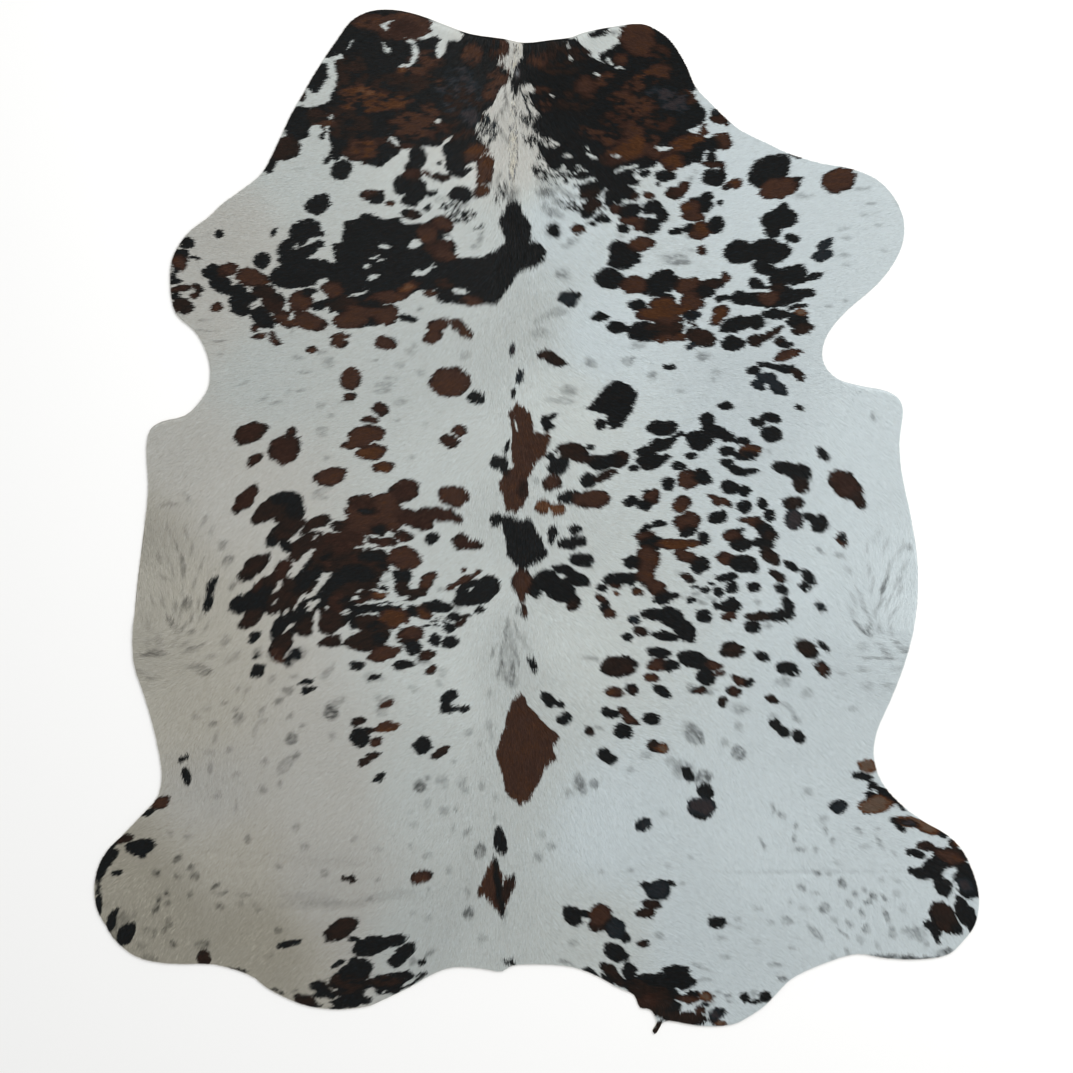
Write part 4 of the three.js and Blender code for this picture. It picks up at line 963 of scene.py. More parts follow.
@dataclass
class Coat:
    """The colours of the coat, painted mark by mark on a fine table over the chart.

    Attributes:
        grain: Spacing of the table, in squares.
        first_column: The table's left edge.
        first_row: The table's top edge.
        columns: How many entries the table has across.
        rows: How many entries it has down.
        ragged: How the edges of marks wander: each scale, and how far it moves them, in squares.
        reach: How far past a mark its ragged edge may lie, in squares.
        swell: How much larger a mark is drawn than it is written, in squares.
        edge: How wide the blend at a mark's edge is, in squares.
        soft_edge: The same for veils, roan and brindled marks.
        tone_edge: How far into a mark its tone takes over from dark hair under it, in squares.
        tone_at_edge: How much it takes over at the very edge.
        tone_brindle: How much the brindle changes that.
        brindle_cell: How tall and broad the brindle's streaks are, in squares.
        fine_brindle: How much finer its second set of streaks is, and how strong.
        roan_cell: How tall and broad the flecks of roan and veils are, in squares.
        mottle: How much the brindle moves the tone of brown hair.
        mottle_limit: The strongest brindle that counts for that.
        mottle_from: The place on the ramp past which hair is brown.
        ghost_cell: How tall and broad the faint grey flecks in the white coat are, in squares.
        ghost_from: The noise past which there is such a fleck.
        ghost_roan: How much the roan's noise breaks them.
        ghost: How much they darken.
        near: How near a named place of the white coat takes over, in squares.
        rng: The random source.
    """

    grain: float = 0.5
    first_column: float = 80.0
    first_row: float = -8.0
    columns: int = 1830
    rows: int = 2110
    ragged: tuple[tuple[float, float], ...] = ((3.0, 0.8), (7.0, 1.3), (14.0, 0.8))
    reach: float = 6.0
    swell: float = 0.4
    edge: float = 1.2
    soft_edge: float = 3.0
    tone_edge: float = 7.0
    tone_at_edge: float = 0.4
    tone_brindle: float = 0.25
    brindle_cell: tuple[float, float] = (3.5, 8.0)
    fine_brindle: tuple[float, float] = (2.3, 0.6)
    roan_cell: tuple[float, float] = (1.6, 2.6)
    mottle: float = 0.022
    mottle_limit: float = 1.5
    mottle_from: float = 0.6
    ghost_cell: tuple[float, float] = (6.0, 8.0)
    ghost_from: float = 0.9
    ghost_roan: float = 0.5
    ghost: float = 0.16
    near: float = 35.0
    rng: np.random.Generator = field(default_factory=lambda: np.random.default_rng(SEED))

    def __post_init__(self) -> None:
        """Lays out the table and paints the coat."""
        shape = (self.rows, self.columns)
        self.cover = np.zeros(shape, np.float32)
        self.tone = np.full(shape, Tone.BLACK.place, np.float32)
        self.veil = np.ones(shape, np.float32)
        self.across = self.first_column + np.arange(self.columns, dtype=np.float32) * self.grain
        self.down = self.first_row + np.arange(self.rows, dtype=np.float32) * self.grain
        self.wander = [np.zeros(shape, np.float32), np.zeros(shape, np.float32)]
        for scale, distance in self.ragged:
            for way in self.wander:
                way += distance * self._noise((scale, scale))
        tall, broad = self.brindle_cell
        finer, strength = self.fine_brindle
        self.brindle = self._noise(self.brindle_cell)
        self.brindle = self.brindle + strength * self._noise((tall / finer, broad / finer))
        self.roan = self._noise(self.roan_cell)
        for letter, outline in PATCHES.values():
            self._paint_patch(letter, outline)
        for region in MARKS.values():
            for mark in Mark.read(region):
                self._paint_mark(mark)
        mottling = np.clip(self.brindle, -self.mottle_limit, self.mottle_limit)
        self.tone += self.mottle * mottling * (self.tone > self.mottle_from)
        ghosts = self._noise(self.ghost_cell) + self.ghost_roan * self.roan
        self.veil *= 1 - self.ghost * np.clip(ghosts - self.ghost_from, 0, 1)

    def _noise(self, cell: tuple[float, float]) -> np.ndarray:
        """Soft noise over the whole table, its cells so many squares tall and broad."""
        return smooth_noise((self.rows, self.columns), (cell[0] / self.grain, cell[1] / self.grain), self.rng)

    def _window(self, left: float, right: float, top: float, bottom: float) -> tuple[slice, slice]:
        """Finds the part of the table between four edges of the chart.

        Args:
            left: The least column.
            right: The greatest column.
            top: The least row.
            bottom: The greatest row.

        Returns:
            The window, as slices of the table's rows and columns.
        """
        j0 = max(0, int((left - self.first_column) / self.grain))
        j1 = min(self.columns, int((right - self.first_column) / self.grain) + 2)
        i0 = max(0, int((top - self.first_row) / self.grain))
        i1 = min(self.rows, int((bottom - self.first_row) / self.grain) + 2)
        return slice(i0, i1), slice(j0, j1)

    def _warped(self, part: tuple[slice, slice]) -> tuple[np.ndarray, np.ndarray]:
        """Moves a window's entries by the ragged wander.

        Args:
            part: The window.

        Returns:
            The entries' columns and rows.
        """
        x = self.across[None, part[1]] + self.wander[0][part]
        y = self.down[part[0], None] + self.wander[1][part]
        return x, y

    def _lay(
        self, part: tuple[slice, slice], letter: str, amount: np.ndarray, tinge: np.ndarray
    ) -> None:
        """Puts a letter's colour on a window of the table.

        Args:
            part: The window.
            letter: The mark's letter.
            amount: How much of it lies on each entry, from 0 to 1.
            tinge: How much its tone takes over from dark hair that is there already.
        """
        if letter == WHITE_HOLE:
            self.cover[part] *= 1 - amount
            return
        if letter in VEILS:
            self.veil[part] *= 1 - VEILS[letter] * amount * VEIL_FLECKS.share(self.roan[part])
            return
        if letter.islower():
            broken = BRINDLE_BREAKS.share(self.brindle[part])
            amount, tinge = amount * broken, tinge * broken
        if letter == ROAN:
            amount = amount * ROAN_FLECKS.share(self.roan[part])
            letter = "K"
        tone = Letter[letter.upper()].value.place
        before = self.cover[part]
        self.cover[part] = np.maximum(before, amount)
        share = np.where(before < 0.5, 1.0, tinge)
        self.tone[part] += (tone - self.tone[part]) * share * (amount > 0)

    def _paint_mark(self, mark: Mark) -> None:
        """Paints one oval mark with a ragged edge.

        Args:
            mark: The mark.
        """
        reach = mark.long / 2 + self.reach
        part = self._window(mark.column - reach, mark.column + reach, mark.row - reach, mark.row + reach)
        x, y = self._warped(part)
        lean = math.radians(-mark.lean)
        dx, dy = x - mark.column, y - mark.row
        along = (dx * math.cos(lean) + dy * math.sin(lean)) / (mark.long / 2)
        across = (dy * math.cos(lean) - dx * math.sin(lean)) / (mark.wide / 2)
        inward = (1 - np.hypot(along, across)) * math.sqrt(mark.long * mark.wide) / 2
        if mark.letter != WHITE_HOLE:
            inward += self.swell
        soft = mark.letter in VEILS or mark.letter == ROAN or mark.letter.islower()
        softness = self.soft_edge if soft else self.edge
        tinge = inward / self.tone_edge + self.tone_at_edge + self.tone_brindle * self.brindle[part]
        tinge = np.clip(tinge, 0, 1)
        self._lay(part, mark.letter, np.clip(inward / softness + 0.5, 0, 1), tinge)

    def _paint_patch(self, letter: str, outline: str) -> None:
        """Paints one large patch with a ragged edge.

        Args:
            letter: What the patch is made of.
            outline: Its corners, each as column,row, with spaces between.
        """
        corners = np.array([[float(n) for n in corner.split(",")] for corner in outline.split()])
        (left, top), (right, bottom) = corners.min(0) - self.reach, corners.max(0) + self.reach
        part = self._window(left, right, top, bottom)
        amount = inside_loop(corners, *self._warped(part)).astype(np.float32)
        self._lay(part, letter, amount, amount)

    def read(self, points: np.ndarray) -> tuple[np.ndarray, np.ndarray, np.ndarray]:
        """Reads the table at points of the hide.

        Args:
            points: One row of x and y for each point, in metres.

        Returns:
            How far each point is covered by a dark mark, that mark's tone, and the veil.
        """
        column, row = to_chart(points)
        j = np.clip(((column - self.first_column) / self.grain).astype(int), 0, self.columns - 1)
        i = np.clip(((row - self.first_row) / self.grain).astype(int), 0, self.rows - 1)
        return self.cover[i, j], self.tone[i, j], self.veil[i, j]

    def white(self, points: np.ndarray) -> tuple[np.ndarray, np.ndarray]:
        """The white coat's tone and brightness at points of the hide, with painted light and shade in both.

        Args:
            points: One row of x and y for each point, in metres.

        Returns:
            The tone's place on the ramp, and the brightness.
        """
        places = np.array([row[1:3] for row in COAT_AND_PAINTED_LIGHT], float)
        values = np.array([(tone.place, bright) for *_, tone, bright in COAT_AND_PAINTED_LIGHT], np.float32)
        column, row = to_chart(points)
        found = blend_by_nearness(column, row, places, values, self.near)
        return found[:, 0], found[:, 1]


@dataclass(frozen=True)
class Swell:
    """A place where the hide lies a little proud or a little low.

    Attributes:
        column: Its middle, in squares of the chart.
        row: Its middle, in squares of the chart.
        wide: How far it reaches across, in squares.
        long: How far it reaches along, in squares.
        rise: Millimetres, negative for a crease.
    """

    column: float
    row: float
    wide: float
    long: float
    rise: float


@dataclass(frozen=True)
class Relief:
    """How the hide's upper face rises and falls, in millimetres.

    Attributes:
        thickness: The leather's own.
        thinnest: The share of the thickness that is left in the deepest crease.
        ripple: How high the broad waves rise.
        wave_across: How far apart the waves are across, how much they bend, and over what length.
        wave_along: The same along the hide.
        spine_rise: How high the ridge along the spine stands.
        spine_half_width: How broad it is.
        swells: The single places that lie proud or low.
    """

    thickness: float = 2.0
    thinnest: float = 0.5
    ripple: float = 0.9
    wave_across: tuple[float, float, float] = (83, 1.7, 190)
    wave_along: tuple[float, float, float] = (117, 1.1, 240)
    spine_rise: float = 0.8
    spine_half_width: float = 40.0
    swells: tuple[Swell, ...] = (
        Swell(180, 610, 75, 130, 1.1),
        Swell(882, 600, 70, 120, 1.1),
        Swell(815, 871, 180, 5, -0.6),
        Swell(262, 892, 60, 12, -0.7),
        Swell(330, 904, 90, 12, -1.0),
        Swell(395, 897, 60, 12, -0.8),
        Swell(210, 850, 90, 8, -0.5),
        Swell(320, 864, 130, 8, -0.5),
    )

    def height(self, points: np.ndarray) -> np.ndarray:
        """Height of the leather's upper face over the floor.

        Args:
            points: One row of x and y for each point, in metres.

        Returns:
            Metres.
        """
        x, y = points[:, 0] / MM, points[:, 1] / MM
        waves = self._wave(x, y, *self.wave_across) * self._wave(y, x, *self.wave_along)
        rise = self.thickness + self.ripple * (0.5 + 0.5 * waves)
        rise += self.spine_rise * np.exp(-((x / self.spine_half_width) ** 2))
        column, row = to_chart(points)
        for swell in self.swells:
            across = (column - swell.column) / (swell.wide / 2)
            along = (row - swell.row) / (swell.long / 2)
            rise += swell.rise * np.exp(-(across**2 + along**2))
        return np.maximum(rise, self.thickness * self.thinnest) * MM

    @staticmethod
    def _wave(
        along: np.ndarray, aside: np.ndarray, length: float, bend: float, bend_length: float
    ) -> np.ndarray:
        """A wave from -1 to 1 along one way that winds as it goes aside."""
        return np.sin(along / length + bend * np.sin(aside / bend_length))


@dataclass(frozen=True)
class HairFinish:
    """Short lying cattle hair: satin, with a soft light over it and no hard shine.

    Attributes:
        name: The material's name.
        roughness: Satin.
        specular: How strong the reflections are.
    """

    name: str = "cattle_hair"
    roughness: float = 0.48
    specular: float = 0.10

    def material(self) -> bpy.types.Material:
        """Makes the hair's material, which reads each lock's tone and brightness from its map.

        Returns:
            The material.
        """
        material = new_material(self.name)
        place = add_node(material, "ShaderNodeUVMap", uv_map="coat")
        split = add_node(material, "ShaderNodeSeparateXYZ", {"Vector": place.outputs["UV"]})
        ramp = add_node(material, "ShaderNodeValToRGB", {"Fac": split.outputs["X"]})
        stops = ramp.color_ramp.elements
        while len(stops) < len(Tone):
            stops.new(0.5)
        for stop, tone in zip(stops, Tone):
            stop.position = tone.place
            stop.color = (*linear(tone.hex), 1)
        bright = add_node(
            material,
            "ShaderNodeMath",
            {0: split.outputs["Y"], 1: BRIGHTEST},
            operation="MULTIPLY",
        )
        shaded = add_node(
            material,
            "ShaderNodeVectorMath",
            {0: ramp.outputs["Color"], 1: bright.outputs[0]},
            operation="MULTIPLY",
        )
        inputs = {"Base Color": shaded.outputs["Vector"]}
        add_surface(material, self.roughness, self.specular, inputs)
        return material


@dataclass(frozen=True)
class GrainSideFinish:
    """The leather's grain side between the hair roots: dull, in the colour of the hair over it.

    Attributes:
        name: The material's name.
        roughness: Nearly matt.
        specular: How strong the reflections are.
        shade: How bright the leather is beside the hair over it.
    """

    name: str = "tanned_grain_side"
    roughness: float = 0.85
    specular: float = 0.15
    shade: float = 0.80

    def material(self) -> bpy.types.Material:
        """Makes the material, which reads the colour attribute of the leather's upper face.

        Returns:
            The material.
        """
        material = new_material(self.name)
        colour = add_node(material, "ShaderNodeVertexColor", layer_name="under_hair")
        shaded = add_node(
            material,
            "ShaderNodeVectorMath",
            {0: colour.outputs["Color"], 1: (self.shade,) * 3},
            operation="MULTIPLY",
        )
        inputs = {"Base Color": shaded.outputs["Vector"]}
        add_surface(material, self.roughness, self.specular, inputs)
        return material


@dataclass(frozen=True)
class SuedeFinish:
    """The buffed flesh side of chrome-tanned leather: a pale matt nap with faint cloudy shading.

    Attributes:
        name: The material's name.
        pale: The light colour.
        deep: The colour of the clouds.
        pale_from: Where on the mixed noise the light colour is full.
        deep_to: Where the clouds' colour is full.
        cloud_mm: How large the clouds are.
        nap_mm: How large a tuft of the nap is.
        nap_share: How much the nap counts in the colour.
        nap_height: How far the nap stands up, in metres.
        nap_strength: How much of that height shows.
        roughness: Matt.
        specular: How strong the reflections are.
    """

    name: str = "buffed_suede"
    pale: str = "C9BFAA"
    deep: str = "A99C84"
    pale_from: float = 0.85
    deep_to: float = 0.45
    cloud_mm: float = 60.0
    nap_mm: float = 1.5
    nap_share: float = 0.35
    nap_height: float = 0.3 * MM
    nap_strength: float = 0.5
    roughness: float = 0.95
    specular: float = 0.1

    def material(self) -> bpy.types.Material:
        """Makes the suede's material from object coordinates.

        Returns:
            The material.
        """
        material = new_material(self.name)
        where = add_node(material, "ShaderNodeTexCoord").outputs["Object"]
        cloud, nap = (
            add_node(
                material,
                "ShaderNodeTexNoise",
                {"Vector": where, "Scale": 1 / (size * MM), "Detail": detail},
            ).outputs["Fac"]
            for size, detail in ((self.cloud_mm, 4.0), (self.nap_mm, 2.0))
        )
        mixed = add_node(
            material,
            "ShaderNodeMath",
            {0: nap, 1: self.nap_share, 2: cloud},
            operation="MULTIPLY_ADD",
        )
        ramp = add_node(material, "ShaderNodeValToRGB", {"Fac": mixed.outputs[0]})
        stops = ((self.deep_to, self.deep), (self.pale_from, self.pale))
        for stop, (place, colour) in zip(ramp.color_ramp.elements, stops):
            stop.position = place
            stop.color = (*linear(colour), 1)
        bump = add_node(
            material,
            "ShaderNodeBump",
            {"Height": nap, "Strength": self.nap_strength, "Distance": self.nap_height},
        )
        inputs = {"Base Color": ramp.outputs["Color"], "Normal": bump.outputs["Normal"]}
        add_surface(material, self.roughness, self.specular, inputs)
        return material


@dataclass(frozen=True)
class FloorFinish:
    """A plain pale matt floor.

    Attributes:
        name: The material's name.
        colour: Its one colour.
        roughness: Nearly matt.
        specular: How strong the reflections are.
    """

    name: str = "pale_floor"
    colour: str = "F2F2F1"
    roughness: float = 0.9
    specular: float = 0.1

    def material(self) -> bpy.types.Material:
        """Makes the floor's material.

        Returns:
            The material.
        """
        material = new_material(self.name)
        inputs = {"Base Color": (*linear(self.colour), 1)}
        add_surface(material, self.roughness, self.specular, inputs)
        return material


def tone_colours(tone: np.ndarray) -> np.ndarray:
    """Reads the coat's ramp.

    Args:
        tone: Places on the ramp.

    Returns:
        A linear red, green and blue for each.
    """
    places = [t.place for t in Tone]
    colours = np.array([linear(t.hex) for t in Tone])
    return np.column_stack([np.interp(tone, places, colours[:, i]) for i in range(3)])


def to_scene(name: str, data: bpy.types.ID) -> bpy.types.Object:
    """Puts a mesh, a light or a camera in the scene, at the origin.

    Args:
        name: The new object's name.
        data: What it shows.

    Returns:
        The object.
    """
    thing = bpy.data.objects.new(name, data)
    bpy.context.collection.objects.link(thing)
    return thing


def to_object(bm: bmesh.types.BMesh, name: str) -> bpy.types.Object:
    """Turns a bmesh into an object of the scene, at the origin.

    Args:
        bm: The bmesh, which is freed.
        name: The object's name.

    Returns:
        The object.
    """
    mesh = bpy.data.meshes.new(name)
    bm.to_mesh(mesh)
    bm.free()
    return to_scene(name, mesh)


@dataclass
class Leather:
    """The tanned skin: one thin closed sheet cut to the hide's outline.

    Attributes:
        outline: The hide's rim.
        relief: The upper face's height.
        cell: Spacing of the sheet's net, in metres.
        inset: How far inside the hair's outline the cut rim lies, in metres.
        snap: How near a cut a corner has to lie to be put on it, in metres.
        steep: A face belongs to the cut rim where its normal's upright part is less than this.
    """

    outline: Outline
    relief: Relief
    cell: float = 11 * MM
    inset: float = 2 * MM
    snap: float = 0.02 * MM
    steep: float = 0.5

    def build(self) -> bpy.types.Object:
        """Cuts the outline out of a net, and gives it its thickness and its relief.

        Returns:
            The piece.
        """
        bm = bmesh.new()
        rim = [bm.verts.new((x, y, 0)) for x, y in self.outline.corners]
        face = bm.faces.new(rim)
        bmesh.ops.inset_region(bm, faces=[face], thickness=self.inset, use_boundary=True)
        bmesh.ops.delete(bm, geom=[f for f in bm.faces if f is not face], context="FACES")
        self._cut_into_cells(bm)
        bmesh.ops.triangulate(bm, faces=[f for f in bm.faces if len(f.verts) > 4])
        upper = bmesh.ops.extrude_face_region(bm, geom=bm.faces[:])
        raised = [v for v in upper["geom"] if isinstance(v, bmesh.types.BMVert)]
        heights = self.relief.height(np.array([v.co.xy for v in raised]))
        for vert, height in zip(raised, heights):
            vert.co.z = height
        bmesh.ops.dissolve_faces(bm, faces=[f for f in bm.faces if all(v.co.z == 0 for v in f.verts)])
        bmesh.ops.recalc_face_normals(bm, faces=bm.faces[:])
        bm.normal_update()
        for f in bm.faces:
            f.material_index = 0 if f.normal.z > self.steep else 1
            f.smooth = f.normal.z > -self.steep
        self._put_in_order(bm)
        return to_object(bm, "leather")

    def _put_in_order(self, bm: bmesh.types.BMesh) -> None:
        """Gives the faces one fixed order, because the cut rim's come in a new one each run.

        Args:
            bm: The sheet.
        """
        bm.verts.index_update()
        count = len(bm.verts)
        bm.faces.sort(key=lambda f: f.verts[0].index * count + f.verts[1].index)

    def _cut_into_cells(self, bm: bmesh.types.BMesh) -> None:
        """Cuts the flat sheet along a net of straight lines.

        Args:
            bm: The sheet.
        """
        low, high = self.outline.corners.min(0), self.outline.corners.max(0)
        for axis in (0, 1):
            normal = Vector((1 - axis, axis, 0))
            for at in np.arange(low[axis] + self.cell, high[axis], self.cell):
                bmesh.ops.bisect_plane(
                    bm,
                    geom=bm.faces[:] + bm.edges[:] + bm.verts[:],
                    plane_co=normal * at,
                    plane_no=normal,
                    dist=self.snap,
                )

    def dress(self, piece: bpy.types.Object, coat: Coat) -> None:
        """Gives the sheet its two finishes and the colours under the hair.

        Args:
            piece: The sheet.
            coat: The colours.
        """
        piece.data.materials.append(GrainSideFinish().material())
        piece.data.materials.append(SuedeFinish().material())
        spots = np.empty(len(piece.data.vertices) * 3, np.float32)
        piece.data.vertices.foreach_get("co", spots)
        points = spots.reshape(-1, 3)[:, :2]
        cover, tone, veil = coat.read(points)
        white_tone, bright = coat.white(points)
        # The white coat's colour here carries the painted light and shade of the coat's table and of the
        # veils.
        light = tone_colours(white_tone) * (bright * veil)[:, None]
        colour = light + (tone_colours(tone) - light) * cover[:, None]
        layer = piece.data.color_attributes.new("under_hair", "FLOAT_COLOR", "POINT")
        layer.data.foreach_set("color", np.column_stack([colour, np.ones(len(colour))]).ravel())


@dataclass
class Hair:
    """The coat of hair: flat-lying locks, each one a slim blade that ends in a point.

    Attributes:
        outline: The hide's rim.
        relief: The leather's upper face.
        coat: The colours.
        spacing: How far apart the roots are, in metres.
        root_inset: How far inside the rim the outermost roots are, in metres.
        near: How near a place of LIE takes over, in squares.
        width: The least and greatest width of a lock, in metres.
        lift: The least and greatest height of its tip over the leather, in metres.
        long_lift: How much higher the longest hair stands.
        full_lift: The length from which a lock stands at its full height, in metres.
        least_lift: The share of the height that the shortest lock has.
        length_share: The least and greatest share of the length that LIE gives.
        least_length: The share of it that a lock at the rim keeps.
        sunk: How far a root lies under the leather's face, in metres.
        roll: How far a lock is turned on its length, as a share of its width.
        overhang: How far locks reach past the rim, in metres.
        overhang_share: The least and greatest share of it.
        short_mm: The length at which hair begins to count as long.
        long_mm: How much longer the longest hair is.
        stray: How far the heading strays in radians, and how much more in the longest hair.
        blur: How far the place where a lock's colour is read strays along it, in millimetres, and
            how much more in the longest hair.
        shown: The place along a lock where its colour is read.
        dark_spread: How much the tone and the brightness of dark hair vary.
        white_spread: How much those of white hair vary.
        zones: The rows where one zone of hair ends and the next begins, by name.
        rng: The random source.
    """

    outline: Outline
    relief: Relief
    coat: Coat
    spacing: float = 1.84 * MM
    root_inset: float = 1.6 * MM
    near: float = 12.0
    width: tuple[float, float] = (1.3 * MM, 2.2 * MM)
    lift: tuple[float, float] = (1.1 * MM, 2.1 * MM)
    long_lift: float = 0.5
    full_lift: float = 9 * MM
    least_lift: float = 0.3
    length_share: tuple[float, float] = (0.65, 1.05)
    least_length: float = 0.1
    sunk: float = 0.2 * MM
    roll: float = 0.10
    overhang: float = 2.0 * MM
    overhang_share: tuple[float, float] = (0.2, 1.3)
    short_mm: float = 16.0
    long_mm: float = 10.0
    stray: tuple[float, float] = (0.10, 0.12)
    blur: tuple[float, float] = (1.4, 3.0)
    shown: float = 0.58
    dark_spread: tuple[float, float] = (0.018, 0.16)
    white_spread: tuple[float, float] = (0.015, 0.03)
    zones: dict[str, tuple[float, float]] = field(
        default_factory=lambda: {
            "hair_neck": (0, 235),
            "hair_shoulders": (235, 400),
            "hair_ribs": (400, 540),
            "hair_belly": (540, 680),
            "hair_loins": (680, 840),
            "hair_rump": (840, 1045),
        }
    )
    rng: np.random.Generator = field(default_factory=lambda: np.random.default_rng(SEED + 1))

    TINY: ClassVar[float] = 1e-6  # keeps a division from a zero
    TONE_LIMITS: ClassVar[tuple[float, float]] = (0.005, 0.995)
    BRIGHT_LIMITS: ClassVar[tuple[float, float]] = (0.01, 0.99)
    MAP_LIMITS: ClassVar[tuple[float, float]] = (0.001, 0.999)

    def _roots(self) -> np.ndarray:
        """Places one root in each cell of a jittered net, inside the rim.

        Returns:
            One row of x and y for each root, in metres.
        """
        low, high = self.outline.corners.min(0), self.outline.corners.max(0)
        across = np.arange(low[0], high[0], self.spacing)
        up = np.arange(low[1], high[1], self.spacing)
        x, y = np.meshgrid(across, up)
        x = x + (np.arange(len(up)) % 2)[:, None] * self.spacing / 2
        points = np.column_stack([x.ravel(), y.ravel()])
        points += self.rng.uniform(-0.5, 0.5, points.shape) * self.spacing
        return points[self.outline.depth(points) > self.root_inset]

    def _lie(self, roots: np.ndarray) -> tuple[np.ndarray, np.ndarray]:
        """Heading and length of the hair at each root.

        Args:
            roots: One row of x and y for each root, in metres.

        Returns:
            The heading in radians and the length in metres.
        """
        column, row = to_chart(roots)
        places = np.array([entry[1:3] for entry in LIE], float)
        heading = np.radians([entry[3] for entry in LIE])
        length = np.array([entry[4] for entry in LIE]) * MM
        values = np.column_stack([np.cos(heading), np.sin(heading), length]).astype(np.float32)
        found = blend_by_nearness(column, row, places, values, self.near)
        return np.arctan2(found[:, 1], found[:, 0]), found[:, 2]

    def _fit_to_rim(self, roots: np.ndarray, way: np.ndarray, length: np.ndarray) -> np.ndarray:
        """Shortens the locks that would reach too far past the rim.

        Args:
            roots: The locks' roots.
            way: The way each one points.
            length: Their lengths.

        Returns:
            The lengths that fit.
        """
        inside = self.outline.depth(roots)
        tip = self.outline.depth(roots + way * length[:, None])
        over = self.overhang * self.rng.uniform(*self.overhang_share, len(roots))
        share = (inside + over) / np.maximum(inside - tip, self.TINY)
        share = np.clip(share, self.least_length, 1)
        return np.where(tip < -over, length * share, length)

    def build(self) -> list[bpy.types.Object]:
        """Makes the hair of every zone.

        Returns:
            One joined mesh for each zone.
        """
        roots = self._roots()
        count = len(roots)
        heading, length = self._lie(roots)
        long_hair = np.clip((length / MM - self.short_mm) / self.long_mm, 0, 1)
        heading += self.rng.normal(0, self.stray[0] + self.stray[1] * long_hair)
        length *= self.rng.uniform(*self.length_share, count)
        way = np.column_stack([np.cos(heading), np.sin(heading)])
        length = self._fit_to_rim(roots, way, length)
        width = self.rng.uniform(*self.width, count)
        half = np.column_stack([-way[:, 1], way[:, 0]]) * (width / 2)[:, None]
        lift = self.rng.uniform(*self.lift, count) * (1 + self.long_lift * long_hair)
        lift *= np.clip(length / self.full_lift, self.least_lift, 1)
        base = self.relief.height(roots)
        roll = self.rng.normal(0, self.roll, count) * width
        tone, bright = self._colours(roots, way, length, long_hair)

        blade = np.empty((count, 3, 3), np.float32)
        blade[:, 0, :2] = roots - half
        blade[:, 1, :2] = roots + way * length[:, None]
        blade[:, 2, :2] = roots + half
        blade[:, 0, 2] = base - self.sunk - roll
        blade[:, 1, 2] = base + lift
        blade[:, 2, 2] = base - self.sunk + roll
        row = to_chart(roots)[1]
        pieces = []
        material = HairFinish().material()
        for name, (top, bottom) in self.zones.items():
            mine = (row >= top) & (row < bottom)
            piece = self._join(name, blade[mine], tone[mine], bright[mine])
            piece.data.materials.append(material)
            pieces.append(piece)
        return pieces

    def _colours(
        self, roots: np.ndarray, way: np.ndarray, length: np.ndarray, long_hair: np.ndarray
    ) -> tuple[np.ndarray, np.ndarray]:
        """Tone and brightness of each lock.

        Args:
            roots: The locks' roots.
            way: The way each one points.
            length: Their lengths.
            long_hair: From 0 on the short coat to 1 in the longest hair.

        Returns:
            The tone's place on the ramp, and the brightness as a place on the colour map.
        """
        count = len(roots)
        jitter = self.rng.normal(0, (self.blur[0] + self.blur[1] * long_hair) * MM)
        shown = roots + way * (length * self.shown + jitter)[:, None]
        # The veil and the white coat's brightness carry painted light and shade as well as the coat's own
        # colour.
        cover, dark_tone, veil = self.coat.read(shown)
        white_tone, bright = self.coat.white(shown)
        dark = self.rng.random(count) < cover
        tone = np.where(
            dark,
            dark_tone + self.rng.normal(0, self.dark_spread[0], count),
            white_tone + self.rng.normal(0, self.white_spread[0], count),
        )
        bright = np.where(
            dark,
            1 + self.rng.normal(0, self.dark_spread[1], count),
            bright * veil * (1 + self.rng.normal(0, self.white_spread[1], count)),
        )
        return np.clip(tone, *self.TONE_LIMITS), np.clip(bright / BRIGHTEST, *self.BRIGHT_LIMITS)

    def _join(
        self, name: str, blade: np.ndarray, tone: np.ndarray, bright: np.ndarray
    ) -> bpy.types.Object:
        """Joins a zone's locks into one mesh.

        Args:
            name: The piece's name.
            blade: The three corners of each lock.
            tone: Each lock's tone.
            bright: Each lock's brightness.

        Returns:
            The piece.
        """
        count = len(blade)
        mesh = bpy.data.meshes.new(name)
        mesh.vertices.add(count * 3)
        mesh.vertices.foreach_set("co", blade.ravel())
        mesh.loops.add(count * 3)
        mesh.loops.foreach_set("vertex_index", np.arange(count * 3, dtype=np.int32))
        mesh.polygons.add(count)
        mesh.polygons.foreach_set("loop_start", np.arange(count, dtype=np.int32) * 3)
        mesh.update(calc_edges=True)
        spread = np.stack([tone, bright], 1)[:, None, :] + MAP_CORNERS[None]
        spread = np.clip(spread, *self.MAP_LIMITS).astype(np.float32)
        for layer in ("coat", "OFBake"):
            mesh.uv_layers.new(name=layer).data.foreach_set("uv", spread.ravel())
        return to_scene(name, mesh)


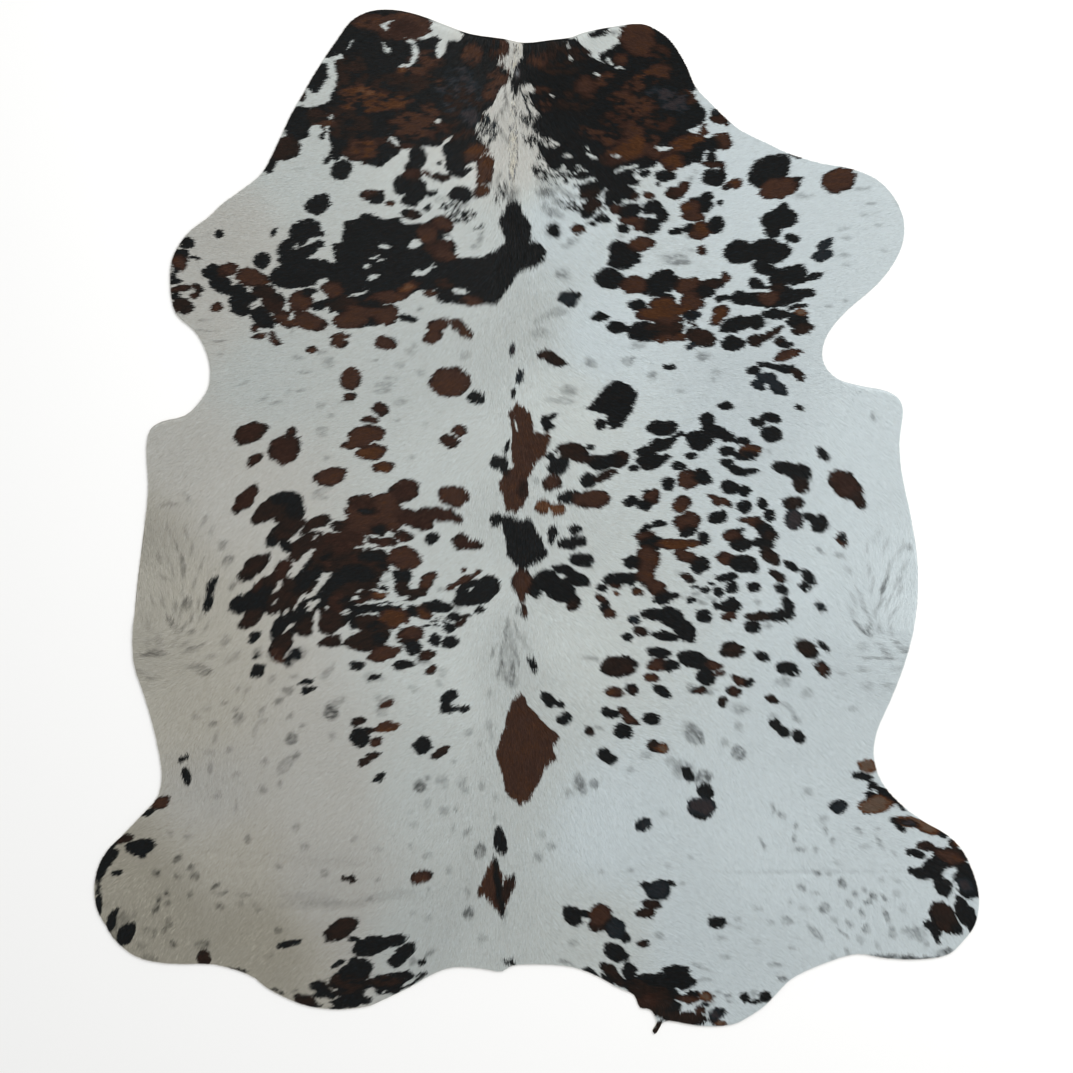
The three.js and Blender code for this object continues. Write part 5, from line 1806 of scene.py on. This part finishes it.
@dataclass
class Studio:
    """A plain floor, soft light from above and a camera straight over the hide.

    Attributes:
        view_width: How much the camera sees at the floor, in metres.
        view_column: The middle of the view, in squares of the chart.
        view_row: The middle of the view, in squares of the chart.
        camera_height: How high the camera is, in metres.
        camera_reach: How far it sees, in metres.
        sensor: The width of its sensor, in millimetres.
        floor_size: The floor's width, in metres.
        sky: How strong the even white light is.
        key_power: The softbox's power, in watts.
        key_size: Its width, in metres.
        key_place: Where it is, in metres. It faces the hide's middle.
    """

    view_width: float = 1073 * SQUARE
    view_column: float = 536.5
    view_row: float = 536.5
    camera_height: float = 4.2
    camera_reach: float = 100.0
    sensor: float = 36.0
    floor_size: float = 60.0
    sky: float = 0.72
    key_power: float = 150.0
    key_size: float = 3.0
    key_place: tuple[float, float, float] = (2.2, 2.0, 3.2)

    def build(self) -> None:
        """Makes the floor, the lights and the camera."""
        self._lay_floor()
        self._light()
        self._aim_camera()
        bpy.context.scene.view_settings.view_transform = "Standard"

    def _lay_floor(self) -> None:
        """Lays the floor just under the hide."""
        bm = bmesh.new()
        bmesh.ops.create_grid(bm, x_segments=1, y_segments=1, size=self.floor_size / 2)
        bmesh.ops.translate(bm, verts=bm.verts, vec=(0, 0, -SLIVER))
        floor = to_object(bm, "floor")
        floor.data.materials.append(FloorFinish().material())

    def _light(self) -> None:
        """Adds an even white sky and one large softbox."""
        world = bpy.data.worlds.new("soft_sky")
        world.use_nodes = True
        background = world.node_tree.nodes["Background"]
        background.inputs["Color"].default_value = (1, 1, 1, 1)
        background.inputs["Strength"].default_value = self.sky
        bpy.context.scene.world = world
        lamp = bpy.data.lights.new("softbox", "AREA")
        lamp.energy = self.key_power
        lamp.size = self.key_size
        key = to_scene("softbox", lamp)
        key.location = self.key_place
        key.rotation_euler = (-key.location).to_track_quat("-Z", "Y").to_euler()
        key.visible_camera = False

    def _aim_camera(self) -> None:
        """Puts the camera over the middle of the view, looking straight down."""
        lens = bpy.data.cameras.new("camera")
        lens.sensor_width = self.sensor
        lens.lens = self.sensor * self.camera_height / self.view_width
        lens.clip_end = self.camera_reach
        camera = to_scene("camera", lens)
        camera.location = (
            (self.view_column - MIDDLE_COLUMN) * SQUARE,
            (MIDDLE_ROW - self.view_row) * SQUARE,
            self.camera_height,
        )
        bpy.context.scene.camera = camera


def main() -> None:
    """Builds the rug, dresses it and lights it."""
    Studio().build()
    outline = Outline.of_node("hide")
    log.info("outline: %d corners", len(outline.corners))
    relief = Relief()
    coat = Coat()
    leather_maker = Leather(outline, relief)
    leather = leather_maker.build()
    leather_maker.dress(leather, coat)
    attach(leather, "root")
    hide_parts("hide")
    log.info("leather: %d faces", len(leather.data.polygons))
    hair = Hair(outline, relief, coat).build()
    for piece in hair:
        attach(piece, "root")
        log.info("%s: %d faces", piece.name, len(piece.data.polygons))
    area = outline.signed_area()


if __name__ == "__main__":
    main()
